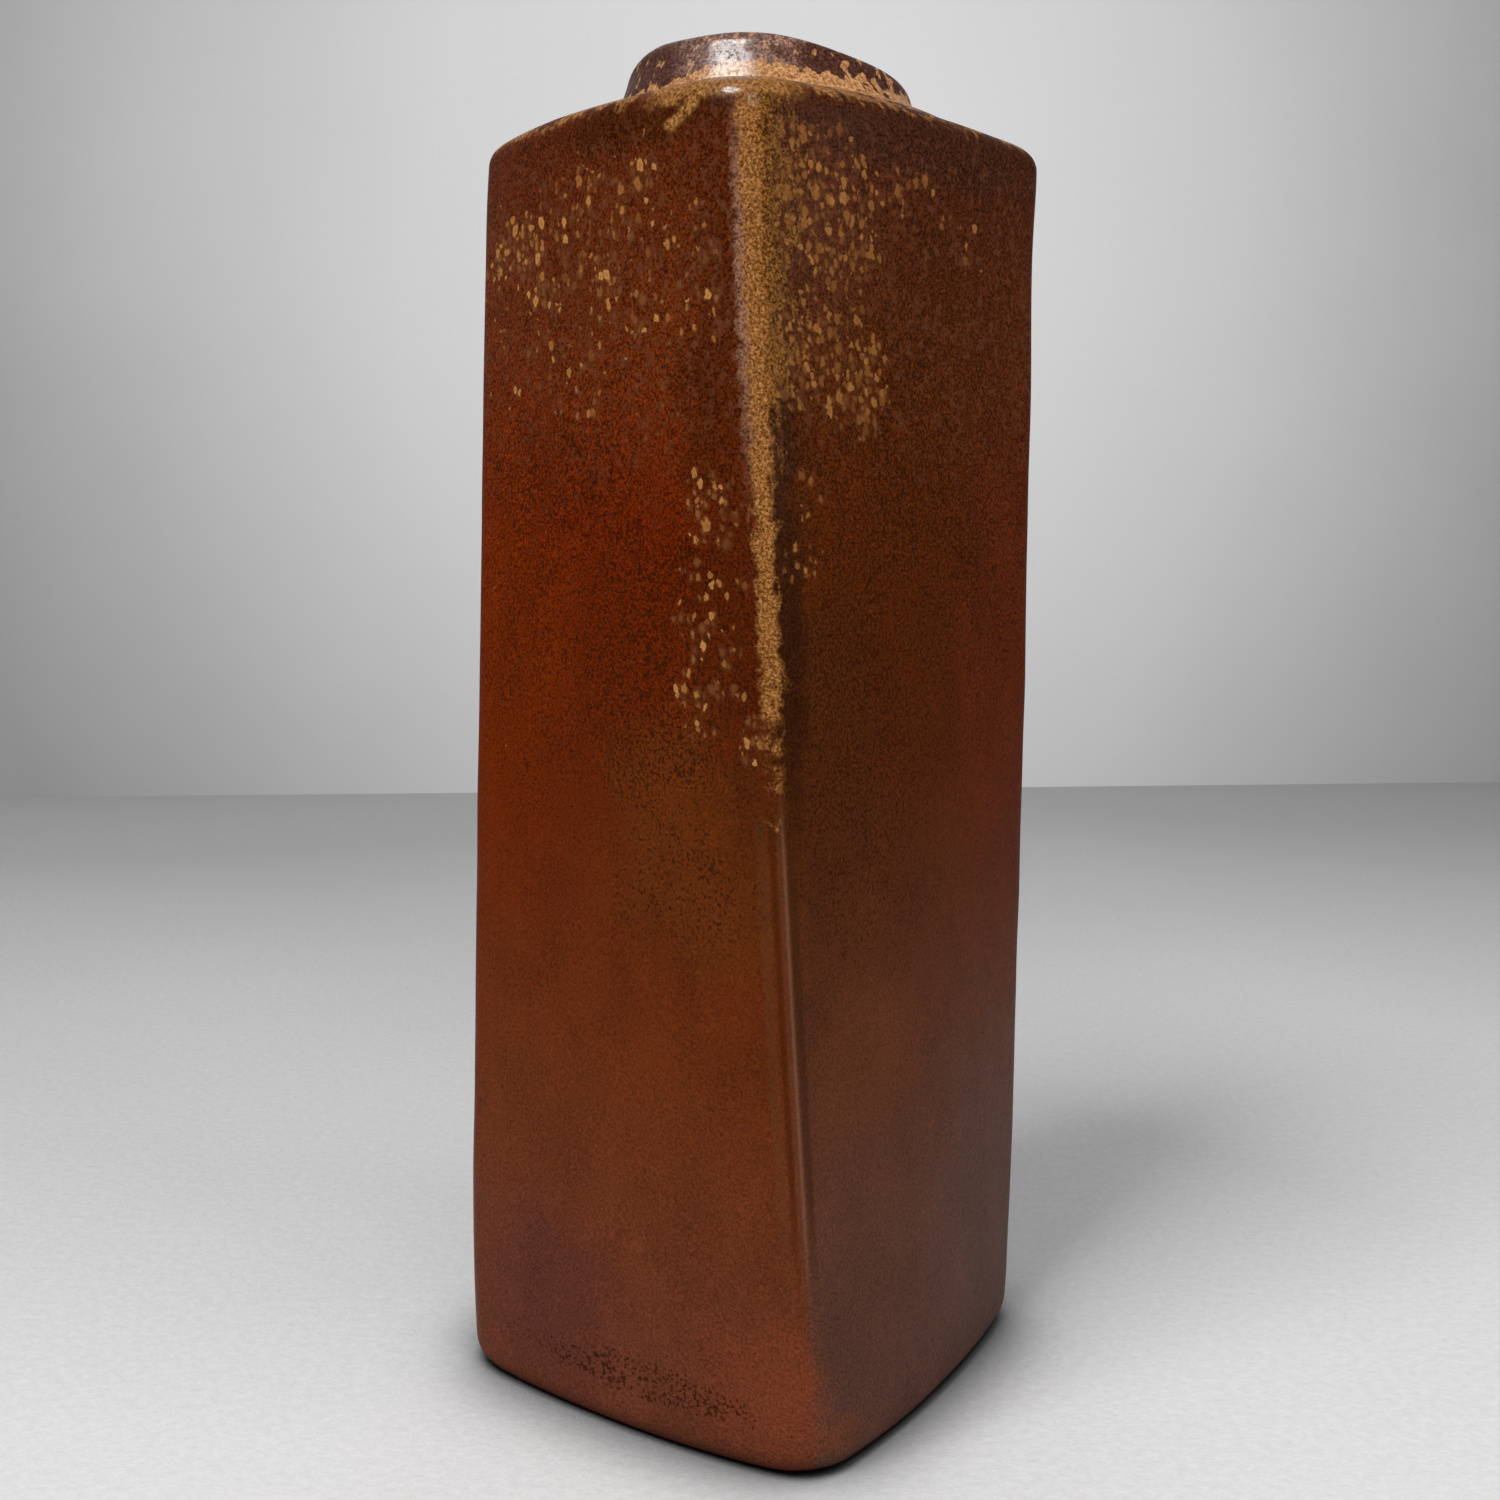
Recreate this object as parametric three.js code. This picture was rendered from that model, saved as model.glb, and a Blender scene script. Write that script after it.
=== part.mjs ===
// A tall, square, slab-built stoneware vase for ikebana, twisted a little as it rises, with a round collar
// for a mouth. Millimetres, +Z up, origin in the middle of the foot's resting plane. The four sides face -Y,
// +X, +Y and -X at the foot and turn with height. From the outside in there are three layers: the outer
// glaze, the clay slabs with the coils that seal their joints, and the liner glaze that holds the water.

import * as THREE from "three";

// Outer form, over the glaze
const BASE_WIDTH = 90; // across the sides at the foot, beside the corners
const TOP_WIDTH = 82.6; // across the sides at the shoulder, beside the corners
const BODY_HEIGHT = 259.5; // foot to the top of the shoulder's edge
const BODY_TWIST = 15.3; // degrees that the shoulder is turned against the foot, clockwise from above
const TWIST_BOW = 0.8; // degrees that half height is turned ahead of an even twist
const CORNER_RADIUS = 4.8; // upright corners at half height
const FOOT_CORNER_GAIN = 4.7; // how much rounder the corners are at the foot
const SHOULDER_CORNER_GAIN = 2.8; // how much rounder the corners are at the shoulder
const CORNER_FADE = 12; // height over which those gains die away
const FACE_CROWN = 1.75; // how far a side's middle stands out at half height
const FOOT_CROWN_GAIN = 2.5; // how much more it stands out at the foot
const SHOULDER_CROWN_GAIN = 2.7; // how much more it stands out at the shoulder
const CROWN_FADE = 43; // height over which those gains die away
const CAVITY_CROWN = 1.5; // how far the middle of an inner face stands out, at any height
const FOOT_EDGE_RADIUS = 6;
const SHOULDER_EDGE_HEIGHT = 5; // the shoulder's rounded edge, measured down the side
const SHOULDER_EDGE_REACH = 7.3; // the same edge, measured in from the side
const SHOULDER_RISE = 2.7; // from the shoulder's edge to the collar
const COLLAR_WIDTH = 62.5; // outside diameter over the glaze, at the collar's root
const COLLAR_TAPER = 2.2; // how much smaller the collar's radius is under its lip than at its root
const COLLAR_HEIGHT = 5.4; // straight part, below the rounded lip
const LIP_RISE = 4.6; // rounded part of the lip
const COLLAR_ROOT_FILLET = 1.6;

// Hand-made leanings, all towards one side
const LEAN_DIRECTION = 32; // degrees of that side, from +X towards +Y
const SHOULDER_TILT = 0.7; // degrees that the shoulder falls
const MOUTH_TILT = 5.5; // degrees that the rim falls against the shoulder
const COLLAR_SHIFT = 2.6; // collar's axis from the body's axis

// Thicknesses and clearances
const GLAZE_THICKNESS = 0.9;
const LINER_THICKNESS = 0.7;
const SLIP_GAP = 0.3; // layer of slip or bond between two pieces
const WALL_THICKNESS = 6;
const FLOOR_THICKNESS = 8.5;
const SHOULDER_THICKNESS = 6.5;
const COLLAR_THICKNESS = 4.6;
const SLAB_CORNER = 1; // rounding of the slabs' inner corners
const COIL_FILLET = 7; // radius to which the coils round the inside corners
const COIL_CORNER = 1.5; // rounding of a coil where it fills the sharp corner of the clay
const COIL_FEATHER_ANGLE = 26; // degrees of the fillet at which a coil thins out to nothing
const LINER_FLOOR_RADIUS = 11; // circle at which the liner's floor is closed to its middle
const FOOT_RECESS_DEPTH = 1.6;
const FOOT_RIM_WIDTH = 9; // resting rim round the recess
const GLAZE_STOP_ANGLE = 42; // degrees round the foot edge's curve at which the outer glaze stops

// Mesh fineness
const ARC_STEPS = 4; // on each upright corner
const SIDE_STEPS = 4; // on each side
const WALL_LEVELS = 10;
const EDGE_STEPS = 4; // on each rounded edge; the corner coils' outlines are drawn for four
const SHOULDER_STEPS = 3;
const FULLEST_CORNER = 0.98; // a corner's radius never passes this share of the half width
const CROWN_SHARPNESS = 6; // power at which the crown fades round a corner
const FILLET_MIDDLE = 1 - Math.SQRT1_2; // where a concave quarter circle's middle lies, as a share of its radius

const SIDES = ["front", "right", "back", "left"];
const RIGHT_ANGLE = Math.PI / 2;
const RING_STEPS = SIDES.length * (ARC_STEPS + SIDE_STEPS);
const CLAY_INSET = GLAZE_THICKNESS + SLIP_GAP; // outer form to clay
const CAVITY_INSET = CLAY_INSET + WALL_THICKNESS; // outer form to the walls' inner faces
const LINER_INSET = CAVITY_INSET + SLIP_GAP; // outer form to the liner
const FOOT_EDGE_LEVEL = FOOT_EDGE_RADIUS - CLAY_INSET; // so that the bare clay rests at zero
const SHOULDER_EDGE_LEVEL = BODY_HEIGHT - SHOULDER_EDGE_HEIGHT;
const SHOULDER_UNDERSIDE = BODY_HEIGHT - CLAY_INSET - SHOULDER_THICKNESS;
const CAVITY_FLOOR = FLOOR_THICKNESS + SLIP_GAP;
const CAVITY_CEILING = SHOULDER_UNDERSIDE - SLIP_GAP;
const COLLAR_ROOT = BODY_HEIGHT + SHOULDER_RISE;
const COLLAR_TOP = COLLAR_ROOT + COLLAR_HEIGHT;
const ROOT_RADIUS = COLLAR_WIDTH / 2;
const LIP_OUTER_RADIUS = ROOT_RADIUS - COLLAR_TAPER;
const MOUTH_RADIUS = LIP_OUTER_RADIUS - 2 * CLAY_INSET - COLLAR_THICKNESS; // glaze to glaze, inside the lip
const COLLAR_HOLE = ROOT_RADIUS - CLAY_INSET + SLIP_GAP; // radius of the shoulder's hole

const radians = THREE.MathUtils.degToRad;
const { lerp, clamp } = THREE.MathUtils;

// The outer form at a height: its half width, its turn, its corners' radius and how far its sides stand out.
function halfWidthAt(z) {
  return lerp(BASE_WIDTH, TOP_WIDTH, z / BODY_HEIGHT) / 2;
}

function turnAt(z) {
  const share = clamp(z / BODY_HEIGHT, 0, 1);
  return -radians(BODY_TWIST * share + TWIST_BOW * 4 * share * (1 - share));
}

function cornerAt(z) {
  const foot = FOOT_CORNER_GAIN * Math.exp(-z / CORNER_FADE);
  const shoulder = SHOULDER_CORNER_GAIN * Math.exp((z - BODY_HEIGHT) / CORNER_FADE);
  return CORNER_RADIUS + foot + shoulder;
}

function crownAt(z) {
  const foot = FOOT_CROWN_GAIN * Math.exp(-z / CROWN_FADE);
  const shoulder = SHOULDER_CROWN_GAIN * Math.exp((z - BODY_HEIGHT) / CROWN_FADE);
  return FACE_CROWN + foot + shoulder;
}

// Evenly spaced values from low to high, both ends included.
function spread(low, high, steps) {
  return Array.from({ length: steps + 1 }, (_, i) => lerp(low, high, i / steps));
}

// The heights of a piece's rings up the sides, closer together near the foot and the shoulder. The ones
// between its ends are the same for every piece, so that neighbouring layers stay parallel where the twist
// bends them.
function sideHeights(low, high) {
  const shared = spread(0, Math.PI, WALL_LEVELS).map((angle) =>
    lerp(FOOT_EDGE_LEVEL, SHOULDER_EDGE_LEVEL, (1 - Math.cos(angle)) / 2),
  );
  const clear = (shared[1] - shared[0]) / 4;
  return [low, ...shared.filter((z) => z > low + clear && z < high - clear), high];
}

// A point of a straight-sided section, moved out as the sides' crown has it.
function crowned([x, y], halfWidth, crown) {
  const push = (across, along) => {
    const round = Math.max(1 - (along / halfWidth) ** 2, 0);
    return crown * round * Math.sign(across) * Math.abs(across / halfWidth) ** CROWN_SHARPNESS;
  };
  return [x + push(x, y), y + push(y, x)];
}

// One side's share of a section, from one corner's diagonal to the next, before it is turned into place. It
// faces -Y. The points run anticlockwise from above, ARC_STEPS + SIDE_STEPS of them plus the last diagonal.
function sidePoints(halfWidth, cornerRadius, crown) {
  const radius = Math.min(cornerRadius, halfWidth * FULLEST_CORNER);
  const centre = halfWidth - radius;
  const arc = (middle, from, to) =>
    spread(from, to, ARC_STEPS / 2).map((angle) => [
      middle + radius * Math.cos(angle),
      -centre + radius * Math.sin(angle),
    ]);
  const points = [
    ...arc(-centre, -1.5 * RIGHT_ANGLE, -RIGHT_ANGLE),
    ...spread(-centre, centre, SIDE_STEPS).slice(1, -1).map((x) => [x, -halfWidth]),
    ...arc(centre, -RIGHT_ANGLE, -0.5 * RIGHT_ANGLE),
  ];
  return points.map((point) => crowned(point, halfWidth, crown));
}

// How far a point lies towards the side to which the vase leans.
function leaning({ x, y }) {
  return x * Math.cos(radians(LEAN_DIRECTION)) + y * Math.sin(radians(LEAN_DIRECTION));
}

// A point of a section put at its height, turned with the body and lowered with the shoulder's tilt.
function place([x, y], z, turn) {
  const point = new THREE.Vector3(x, y, z).applyAxisAngle(new THREE.Vector3(0, 0, 1), turn);
  point.z -= leaning(point) * Math.tan(radians(SHOULDER_TILT)) * (z / BODY_HEIGHT) ** 2;
  return point;
}

// A whole ring at a height: a crowned, rounded square of that half width, blended towards the collar's
// circle by `round` from 0 to 1, and tilted with the rim by `rim` from 0 to 1.
function ring({
  z,
  halfWidth,
  cornerRadius = cornerAt(z),
  crown = crownAt(z),
  turn = turnAt(z),
  round = 0,
  rim = 0,
}) {
  const shift = new THREE.Vector3(COLLAR_SHIFT * round, 0, 0);
  shift.applyAxisAngle(new THREE.Vector3(0, 0, 1), radians(LEAN_DIRECTION));
  return SIDES.flatMap((_, side) =>
    sidePoints(halfWidth, cornerRadius, crown)
      .slice(0, -1)
      .map(([x, y], i, { length }) => {
        const angle = -1.5 * RIGHT_ANGLE + (RIGHT_ANGLE * i) / length;
        const mixed = [
          lerp(x, halfWidth * Math.cos(angle), round),
          lerp(y, halfWidth * Math.sin(angle), round),
        ];
        const point = place(mixed, z, turn + RIGHT_ANGLE * side);
        point.z -= leaning(point) * Math.tan(radians(MOUTH_TILT)) * rim;
        return point.add(shift);
      }),
  );
}

// A ring round the collar's axis.
function circleRing(radius, z) {
  const rim = clamp((z - COLLAR_ROOT) / COLLAR_HEIGHT, 0, 1);
  return ring({ z, halfWidth: radius, round: 1, turn: turnAt(BODY_HEIGHT), rim });
}

// Rings of the outer form moved inwards by `inset`: round the foot's edge, up the sides, round the shoulder's
// edge and over the shoulder. `from` is the angle below the horizontal at which the foot's edge starts.
function footEdgeRings(inset, from = RIGHT_ANGLE) {
  const radius = FOOT_EDGE_RADIUS - inset;
  return spread(-from, 0, EDGE_STEPS).map((angle) => {
    const z = FOOT_EDGE_LEVEL + radius * Math.sin(angle);
    const halfWidth = halfWidthAt(FOOT_EDGE_LEVEL) - FOOT_EDGE_RADIUS + radius * Math.cos(angle);
    return ring({ z, halfWidth, cornerRadius: cornerAt(z) - inset });
  });
}

function sideRing(inset, z) {
  return ring({ z, halfWidth: halfWidthAt(z) - inset, cornerRadius: cornerAt(z) - inset });
}

function shoulderEdgeRings(inset) {
  return spread(0, RIGHT_ANGLE, EDGE_STEPS).map((angle) => {
    const z = SHOULDER_EDGE_LEVEL + (SHOULDER_EDGE_HEIGHT - inset) * Math.sin(angle);
    const reach = (SHOULDER_EDGE_REACH - inset) * Math.cos(angle);
    const halfWidth = halfWidthAt(SHOULDER_EDGE_LEVEL) - SHOULDER_EDGE_REACH + reach;
    return ring({ z, halfWidth, cornerRadius: cornerAt(z) - inset });
  });
}

// The shoulder's top face, from its edge in to a circle of `radius`.
function shoulderRings(inset, radius) {
  const edge = halfWidthAt(SHOULDER_EDGE_LEVEL) - SHOULDER_EDGE_REACH;
  return spread(0, 1, SHOULDER_STEPS)
    .slice(1)
    .map((share) =>
      ring({
        z: BODY_HEIGHT - inset + SHOULDER_RISE * Math.sin(share * RIGHT_ANGLE),
        halfWidth: lerp(edge, radius, share),
        cornerRadius: cornerAt(BODY_HEIGHT) - inset,
        turn: turnAt(BODY_HEIGHT),
        round: share,
      }),
    );
}

// The lip: half an ellipse over the collar, moved inwards by `inset`.
function lipRings(inset) {
  const middle = (LIP_OUTER_RADIUS + MOUTH_RADIUS) / 2;
  const reach = (LIP_OUTER_RADIUS - MOUTH_RADIUS) / 2 - inset;
  return spread(0, Math.PI, EDGE_STEPS * 2).map((angle) =>
    circleRing(middle + reach * Math.cos(angle), COLLAR_TOP + (LIP_RISE - inset) * Math.sin(angle)),
  );
}

// The cavity's ring at an angle of its rounded bottom or top corner, moved outwards by `away`.
function cavityRing(angle, atTop, away) {
  const level = atTop ? CAVITY_CEILING - COIL_FILLET : CAVITY_FLOOR + COIL_FILLET;
  const reach = COIL_FILLET + away;
  return ring({
    z: level + reach * Math.sin(angle),
    halfWidth: halfWidthAt(level) - LINER_INSET - COIL_FILLET + reach * Math.cos(angle),
    cornerRadius: Math.max(reach * Math.cos(angle), SLAB_CORNER),
    crown: CAVITY_CROWN,
    turn: turnAt(level),
  });
}

// The two triangles between two neighbouring steps of two rings. The patch is split along the diagonal that
// climbs anticlockwise, whichever way the rings run, so that twisted neighbours bend alike.
function patch(points, [a, b, c, d]) {
  const anticlockwise = points[a].x * points[b].y - points[a].y * points[b].x > 0;
  return anticlockwise === points[c].z > points[b].z ? [a, b, c, a, c, d] : [a, b, d, b, c, d];
}

// The sides of a solid from rings of equally many points, each ring joined to the next. With `hollow` the last
// ring joins the first again, as in a tube's wall.
function sideFaces(rings, hollow) {
  const count = rings[0].length;
  const points = rings.flat();
  const bands = hollow ? rings : rings.slice(1);
  return bands.flatMap((_, band) => {
    const low = band * count;
    const high = ((band + 1) % rings.length) * count;
    return rings[0].flatMap((_, i) => {
      const next = (i + 1) % count;
      return patch(points, [low + i, low + next, high + next, high + i]);
    });
  });
}

function solid(points, index) {
  const geometry = new THREE.BufferGeometry();
  const positions = points.flatMap((p) => [p.x, p.y, p.z]);
  geometry.setAttribute("position", new THREE.Float32BufferAttribute(positions, 3));
  geometry.setIndex(index);
  geometry.computeVertexNormals();
  return geometry;
}

// A closed tube's wall: the rings go up its outside and down its inside.
function tubeWall(rings) {
  return solid(rings.flat(), sideFaces(rings, true));
}

// A closed solid from rings, with a fan over the first ring and one over the last.
function capped(rings) {
  const count = rings[0].length;
  const points = rings.flat();
  const index = sideFaces(rings, false);
  [0, rings.length - 1].forEach((end) => {
    const middle = points.length;
    points.push(rings[end].reduce((sum, p) => sum.add(p), new THREE.Vector3()).divideScalar(count));
    rings[end].forEach((_, i) => {
      const edge = [end * count + i, end * count + ((i + 1) % count)];
      index.push(middle, ...(end === 0 ? edge.reverse() : edge));
    });
  });
  return solid(points, index);
}

// A closed solid from levels that each hold the outer points of a stretch and as many inner points behind them.
function strip(levels) {
  const rings = levels.map(({ outer, inner }) => [...outer, ...inner.toReversed()]);
  const last = rings[0].length - 1;
  const index = sideFaces(rings, false);
  [0, rings.length - 1].forEach((end) => {
    const start = end * (last + 1);
    levels[0].outer.slice(1).forEach((_, i) => {
      const [a, b, c, d] = [start + i, start + i + 1, start + last - 1 - i, start + last - i];
      index.push(...(end === 0 ? [a, c, b, a, d, c] : [a, b, c, a, c, d]));
    });
  });
  return solid(rings.flat(), index);
}

// The glaze's outside: foot edge, sides, shoulder, collar, over the lip and down inside the mouth.
function outerGlaze() {
  const skin = (inset) => {
    const root = ROOT_RADIUS - inset;
    const rootLevel = COLLAR_ROOT - inset;
    const middle = COLLAR_ROOT_FILLET * FILLET_MIDDLE;
    return [
      ...footEdgeRings(inset, radians(GLAZE_STOP_ANGLE)),
      ...sideHeights(FOOT_EDGE_LEVEL, SHOULDER_EDGE_LEVEL).slice(1, -1).map((z) => sideRing(inset, z)),
      ...shoulderEdgeRings(inset),
      ...shoulderRings(inset, root + COLLAR_ROOT_FILLET),
      circleRing(root + middle, rootLevel + middle),
      circleRing(root, rootLevel + COLLAR_ROOT_FILLET),
      ...lipRings(inset),
      circleRing(MOUTH_RADIUS + inset, CAVITY_CEILING),
    ];
  };
  return tubeWall([...skin(0), ...skin(GLAZE_THICKNESS).reverse()]);
}

// The floor: the slab that the walls stand on, with the rounded foot edge and a shallow recess underneath.
function floorSlab() {
  const rim = halfWidthAt(FOOT_EDGE_LEVEL) - FOOT_EDGE_RADIUS - FOOT_RIM_WIDTH;
  return capped([
    ring({ z: FOOT_RECESS_DEPTH, halfWidth: rim - FOOT_RECESS_DEPTH }),
    ring({ z: 0, halfWidth: rim }),
    ...footEdgeRings(CLAY_INSET),
    sideRing(CLAY_INSET, FLOOR_THICKNESS),
  ]);
}

// The shoulder: the slab on top of the walls, with its rounded edge and the hole that takes the collar.
function shoulderSlab() {
  return tubeWall([
    circleRing(COLLAR_HOLE, SHOULDER_UNDERSIDE),
    sideRing(CLAY_INSET, SHOULDER_UNDERSIDE),
    ...shoulderEdgeRings(CLAY_INSET),
    ...shoulderRings(CLAY_INSET, COLLAR_HOLE),
  ]);
}

// The collar: a thrown ring set down through the shoulder, with a rounded lip.
function collarRing() {
  return tubeWall([
    circleRing(MOUTH_RADIUS + CLAY_INSET, SHOULDER_UNDERSIDE),
    circleRing(ROOT_RADIUS - CLAY_INSET, SHOULDER_UNDERSIDE),
    circleRing(ROOT_RADIUS - CLAY_INSET, COLLAR_ROOT + COLLAR_ROOT_FILLET - CLAY_INSET),
    ...lipRings(CLAY_INSET),
  ]);
}

// The liner: one coat over the floor, up the walls and under the shoulder, as far as the collar's mouth.
function linerGlaze() {
  const skin = (inset) => [
    ring({ z: CAVITY_FLOOR + inset, halfWidth: LINER_FLOOR_RADIUS, round: 1, crown: CAVITY_CROWN }),
    ...spread(-RIGHT_ANGLE, 0, EDGE_STEPS).map((angle) => cavityRing(angle, false, -inset)),
    ...sideHeights(CAVITY_FLOOR + COIL_FILLET, CAVITY_CEILING - COIL_FILLET)
      .slice(1, -1)
      .map((z) => {
        const halfWidth = halfWidthAt(z) - LINER_INSET - inset;
        return ring({ z, halfWidth, cornerRadius: COIL_FILLET - inset, crown: CAVITY_CROWN });
      }),
    ...spread(0, RIGHT_ANGLE, EDGE_STEPS).map((angle) => cavityRing(angle, true, -inset)),
    circleRing(MOUTH_RADIUS + CLAY_INSET, CAVITY_CEILING - inset),
  ];
  return capped([...skin(0), ...skin(LINER_THICKNESS).reverse()]);
}

// A coil pressed round the inside where the walls meet the floor or the shoulder. Its section runs from the
// corner of the clay to the rounded face that the liner covers.
function edgeCoil(atTop) {
  const sign = atTop ? 1 : -1;
  const level = atTop ? CAVITY_CEILING - COIL_FILLET : CAVITY_FLOOR + COIL_FILLET;
  const leg = halfWidthAt(level) - LINER_INSET;
  const start = radians(COIL_FEATHER_ANGLE);
  const feather = (COIL_FILLET + SLIP_GAP) * Math.sin(start);
  const legRing = (halfWidth, rise) =>
    ring({
      z: level + sign * rise,
      halfWidth,
      cornerRadius: COIL_CORNER,
      crown: CAVITY_CROWN,
      turn: turnAt(level),
    });
  const rings = [
    ...spread(start, RIGHT_ANGLE - start, EDGE_STEPS).map((angle) =>
      cavityRing(sign * angle, atTop, SLIP_GAP),
    ),
    legRing(leg - COIL_FILLET + feather, COIL_FILLET),
    legRing(leg - COIL_CORNER, COIL_FILLET),
    legRing(leg, COIL_FILLET - COIL_CORNER),
    legRing(leg, feather),
  ];
  return tubeWall(atTop ? rings.reverse() : rings);
}

// A coil pressed up one inside corner, from the floor's coil to the shoulder's.
function cornerCoil(side) {
  const low = CAVITY_FLOOR + COIL_FILLET + SLIP_GAP;
  const high = CAVITY_CEILING - COIL_FILLET - SLIP_GAP;
  const start = radians(COIL_FEATHER_ANGLE);
  const reach = COIL_FILLET + SLIP_GAP;
  const levels = sideHeights(low, high).map((z) => {
    const leg = halfWidthAt(z) - LINER_INSET;
    const centre = leg - COIL_FILLET;
    const bevel = COIL_CORNER * FILLET_MIDDLE;
    const inner = spread(start, RIGHT_ANGLE - start, EDGE_STEPS).map((angle) => [
      centre + reach * Math.sin(angle),
      -centre - reach * Math.cos(angle),
    ]);
    const outer = [
      [inner[0][0], -leg],
      [leg - COIL_CORNER, -leg],
      [leg - bevel, bevel - leg],
      [leg, COIL_CORNER - leg],
      [leg, inner.at(-1)[1]],
    ];
    const turned = (point) => place(crowned(point, leg, CAVITY_CROWN), z, turnAt(z) + RIGHT_ANGLE * side);
    return { outer: outer.map(turned), inner: inner.map(turned) };
  });
  return strip(levels);
}

// One wall slab, mitred to its neighbours at the corners' diagonals with a slip gap between them.
function wallSlab(side) {
  const levels = sideHeights(CAVITY_FLOOR, CAVITY_CEILING).map((z) => {
    const face = (inset, cornerRadius, crown) => {
      const points = sidePoints(halfWidthAt(z) - inset, cornerRadius, crown);
      const [first, last] = [points[0], points.at(-1)];
      points[0] = [first[0] + SLIP_GAP / 2, first[1] - SLIP_GAP / 2];
      points[points.length - 1] = [last[0] - SLIP_GAP / 2, last[1] - SLIP_GAP / 2];
      return points.map((point) => place(point, z, turnAt(z) + RIGHT_ANGLE * side));
    };
    return {
      outer: face(CLAY_INSET, cornerAt(z) - CLAY_INSET, crownAt(z)),
      inner: face(CAVITY_INSET, SLAB_CORNER, CAVITY_CROWN),
    };
  });
  return strip(levels);
}

const GLAZE = new THREE.MeshStandardMaterial({ color: "#5e2812", roughness: 0.35, metalness: 0 });
const LINER = new THREE.MeshStandardMaterial({ color: "#3c2015", roughness: 0.4, metalness: 0 });
const CLAY = new THREE.MeshStandardMaterial({ color: "#8a5a40", roughness: 0.9, metalness: 0 });

const vase = new THREE.Group();
function add(name, geometry, material) {
  const mesh = new THREE.Mesh(geometry, material);
  mesh.name = name;
  vase.add(mesh);
}

add("outer_glaze", outerGlaze(), GLAZE);
add("liner_glaze", linerGlaze(), LINER);
add("collar_ring", collarRing(), CLAY);
add("shoulder_slab", shoulderSlab(), CLAY);
add("shoulder_coil", edgeCoil(true), CLAY);
add("floor_coil", edgeCoil(false), CLAY);
add("floor_slab", floorSlab(), CLAY);
SIDES.forEach((name, side) => {
  add(`wall_${name}`, wallSlab(side), CLAY);
  add(`corner_coil_${name}_${SIDES[(side + 1) % SIDES.length]}`, cornerCoil(side), CLAY);
});

export default vase;
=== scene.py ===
"""A tall square stoneware vase, twisted a little as it rises, in red-brown iron glaze with tan ash drops."""

import math

import bmesh
import bpy
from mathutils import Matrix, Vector


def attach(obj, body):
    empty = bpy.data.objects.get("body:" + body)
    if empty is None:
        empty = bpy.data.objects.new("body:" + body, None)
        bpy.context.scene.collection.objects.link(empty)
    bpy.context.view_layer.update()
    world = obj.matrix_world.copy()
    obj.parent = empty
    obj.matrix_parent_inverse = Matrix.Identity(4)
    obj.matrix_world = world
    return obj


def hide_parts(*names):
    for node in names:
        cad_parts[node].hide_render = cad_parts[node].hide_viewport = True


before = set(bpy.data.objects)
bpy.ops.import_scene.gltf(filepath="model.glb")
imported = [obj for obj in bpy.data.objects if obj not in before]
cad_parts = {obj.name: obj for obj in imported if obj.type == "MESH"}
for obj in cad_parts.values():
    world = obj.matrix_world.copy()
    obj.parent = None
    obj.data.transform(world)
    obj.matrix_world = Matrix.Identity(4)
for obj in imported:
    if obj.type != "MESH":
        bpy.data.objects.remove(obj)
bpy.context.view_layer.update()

# The outer form over the glaze, in metres and radians, as the frame has it
BODY_HEIGHT = 0.2595
BASE_WIDTH = 0.090
TOP_WIDTH = 0.0826
BODY_TWIST = math.radians(15.3)
TWIST_BOW = math.radians(0.8)
CORNER_RADIUS = 0.0048
FOOT_CORNER_GAIN = 0.0047
SHOULDER_CORNER_GAIN = 0.0028
CORNER_FADE = 0.012
FACE_CROWN = 0.00175
FOOT_CROWN_GAIN = 0.0025
SHOULDER_CROWN_GAIN = 0.0027
CROWN_FADE = 0.043
FOOT_EDGE_LEVEL = 0.0048
FOOT_EDGE_RADIUS = 0.006
SHOULDER_EDGE_HEIGHT = 0.005
SHOULDER_EDGE_REACH = 0.0073
SHOULDER_RISE = 0.0027
SHOULDER_SWELL = 0.0005
COLLAR_RADIUS = 0.03125
COLLAR_TAPER = 0.0022
COLLAR_HEIGHT = 0.0054
COLLAR_ROOT_FILLET = 0.0016
LIP_RISE = 0.0046
MOUTH_RADIUS = 0.02205
LEAN_DIRECTION = math.radians(32)
SHOULDER_TILT = math.radians(0.7)
MOUTH_TILT = math.radians(5.5)
COLLAR_SHIFT = 0.0026

# The layers behind it
GLAZE_THICKNESS = 0.0009
LINER_THICKNESS = 0.0007
CLAY_INSET = 0.0012
LINER_INSET = 0.0075
GLAZE_STOP_ANGLE = math.radians(42)
FLOOR_THICKNESS = 0.0085
FOOT_RECESS_DEPTH = 0.0016
FOOT_RIM_WIDTH = 0.009
FOOT_SOFTENING = 0.0004
CAVITY_CROWN = 0.0015
CAVITY_FLOOR = 0.0088
CAVITY_CEILING = 0.2515
CAVITY_FILLET = 0.007
CAVITY_CORNER = 0.001

# Unevenness left by the hand: all over, on the rim and at the shoulder's right corner
HAND_WAVE = 0.03
HAND_UNEVENNESS = 0.0005
RIM_SINK = 0.0025
RIM_SWELL = 0.0013
RIM_LIFT = 0.0012
RIM_REACH = 0.02
RIM_KEPT = 0.001
CORNER_SWELL = 0.0012
CORNER_LIFT = 0.0006
CORNER_REACH = 0.02

# The camera: close to the vase, a little above half height, looking slightly down
VIEW_ANGLE = math.radians(32.44)
CAMERA_DISTANCE = 0.3438
CAMERA_HEIGHT = 0.1770
CAMERA_PITCH = math.radians(82.706)
CAMERA_ROLL = math.radians(-0.534)
CAMERA_HEADING = math.radians(32.624)
LENS = 38.38
SENSOR_WIDTH = 36

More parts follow.
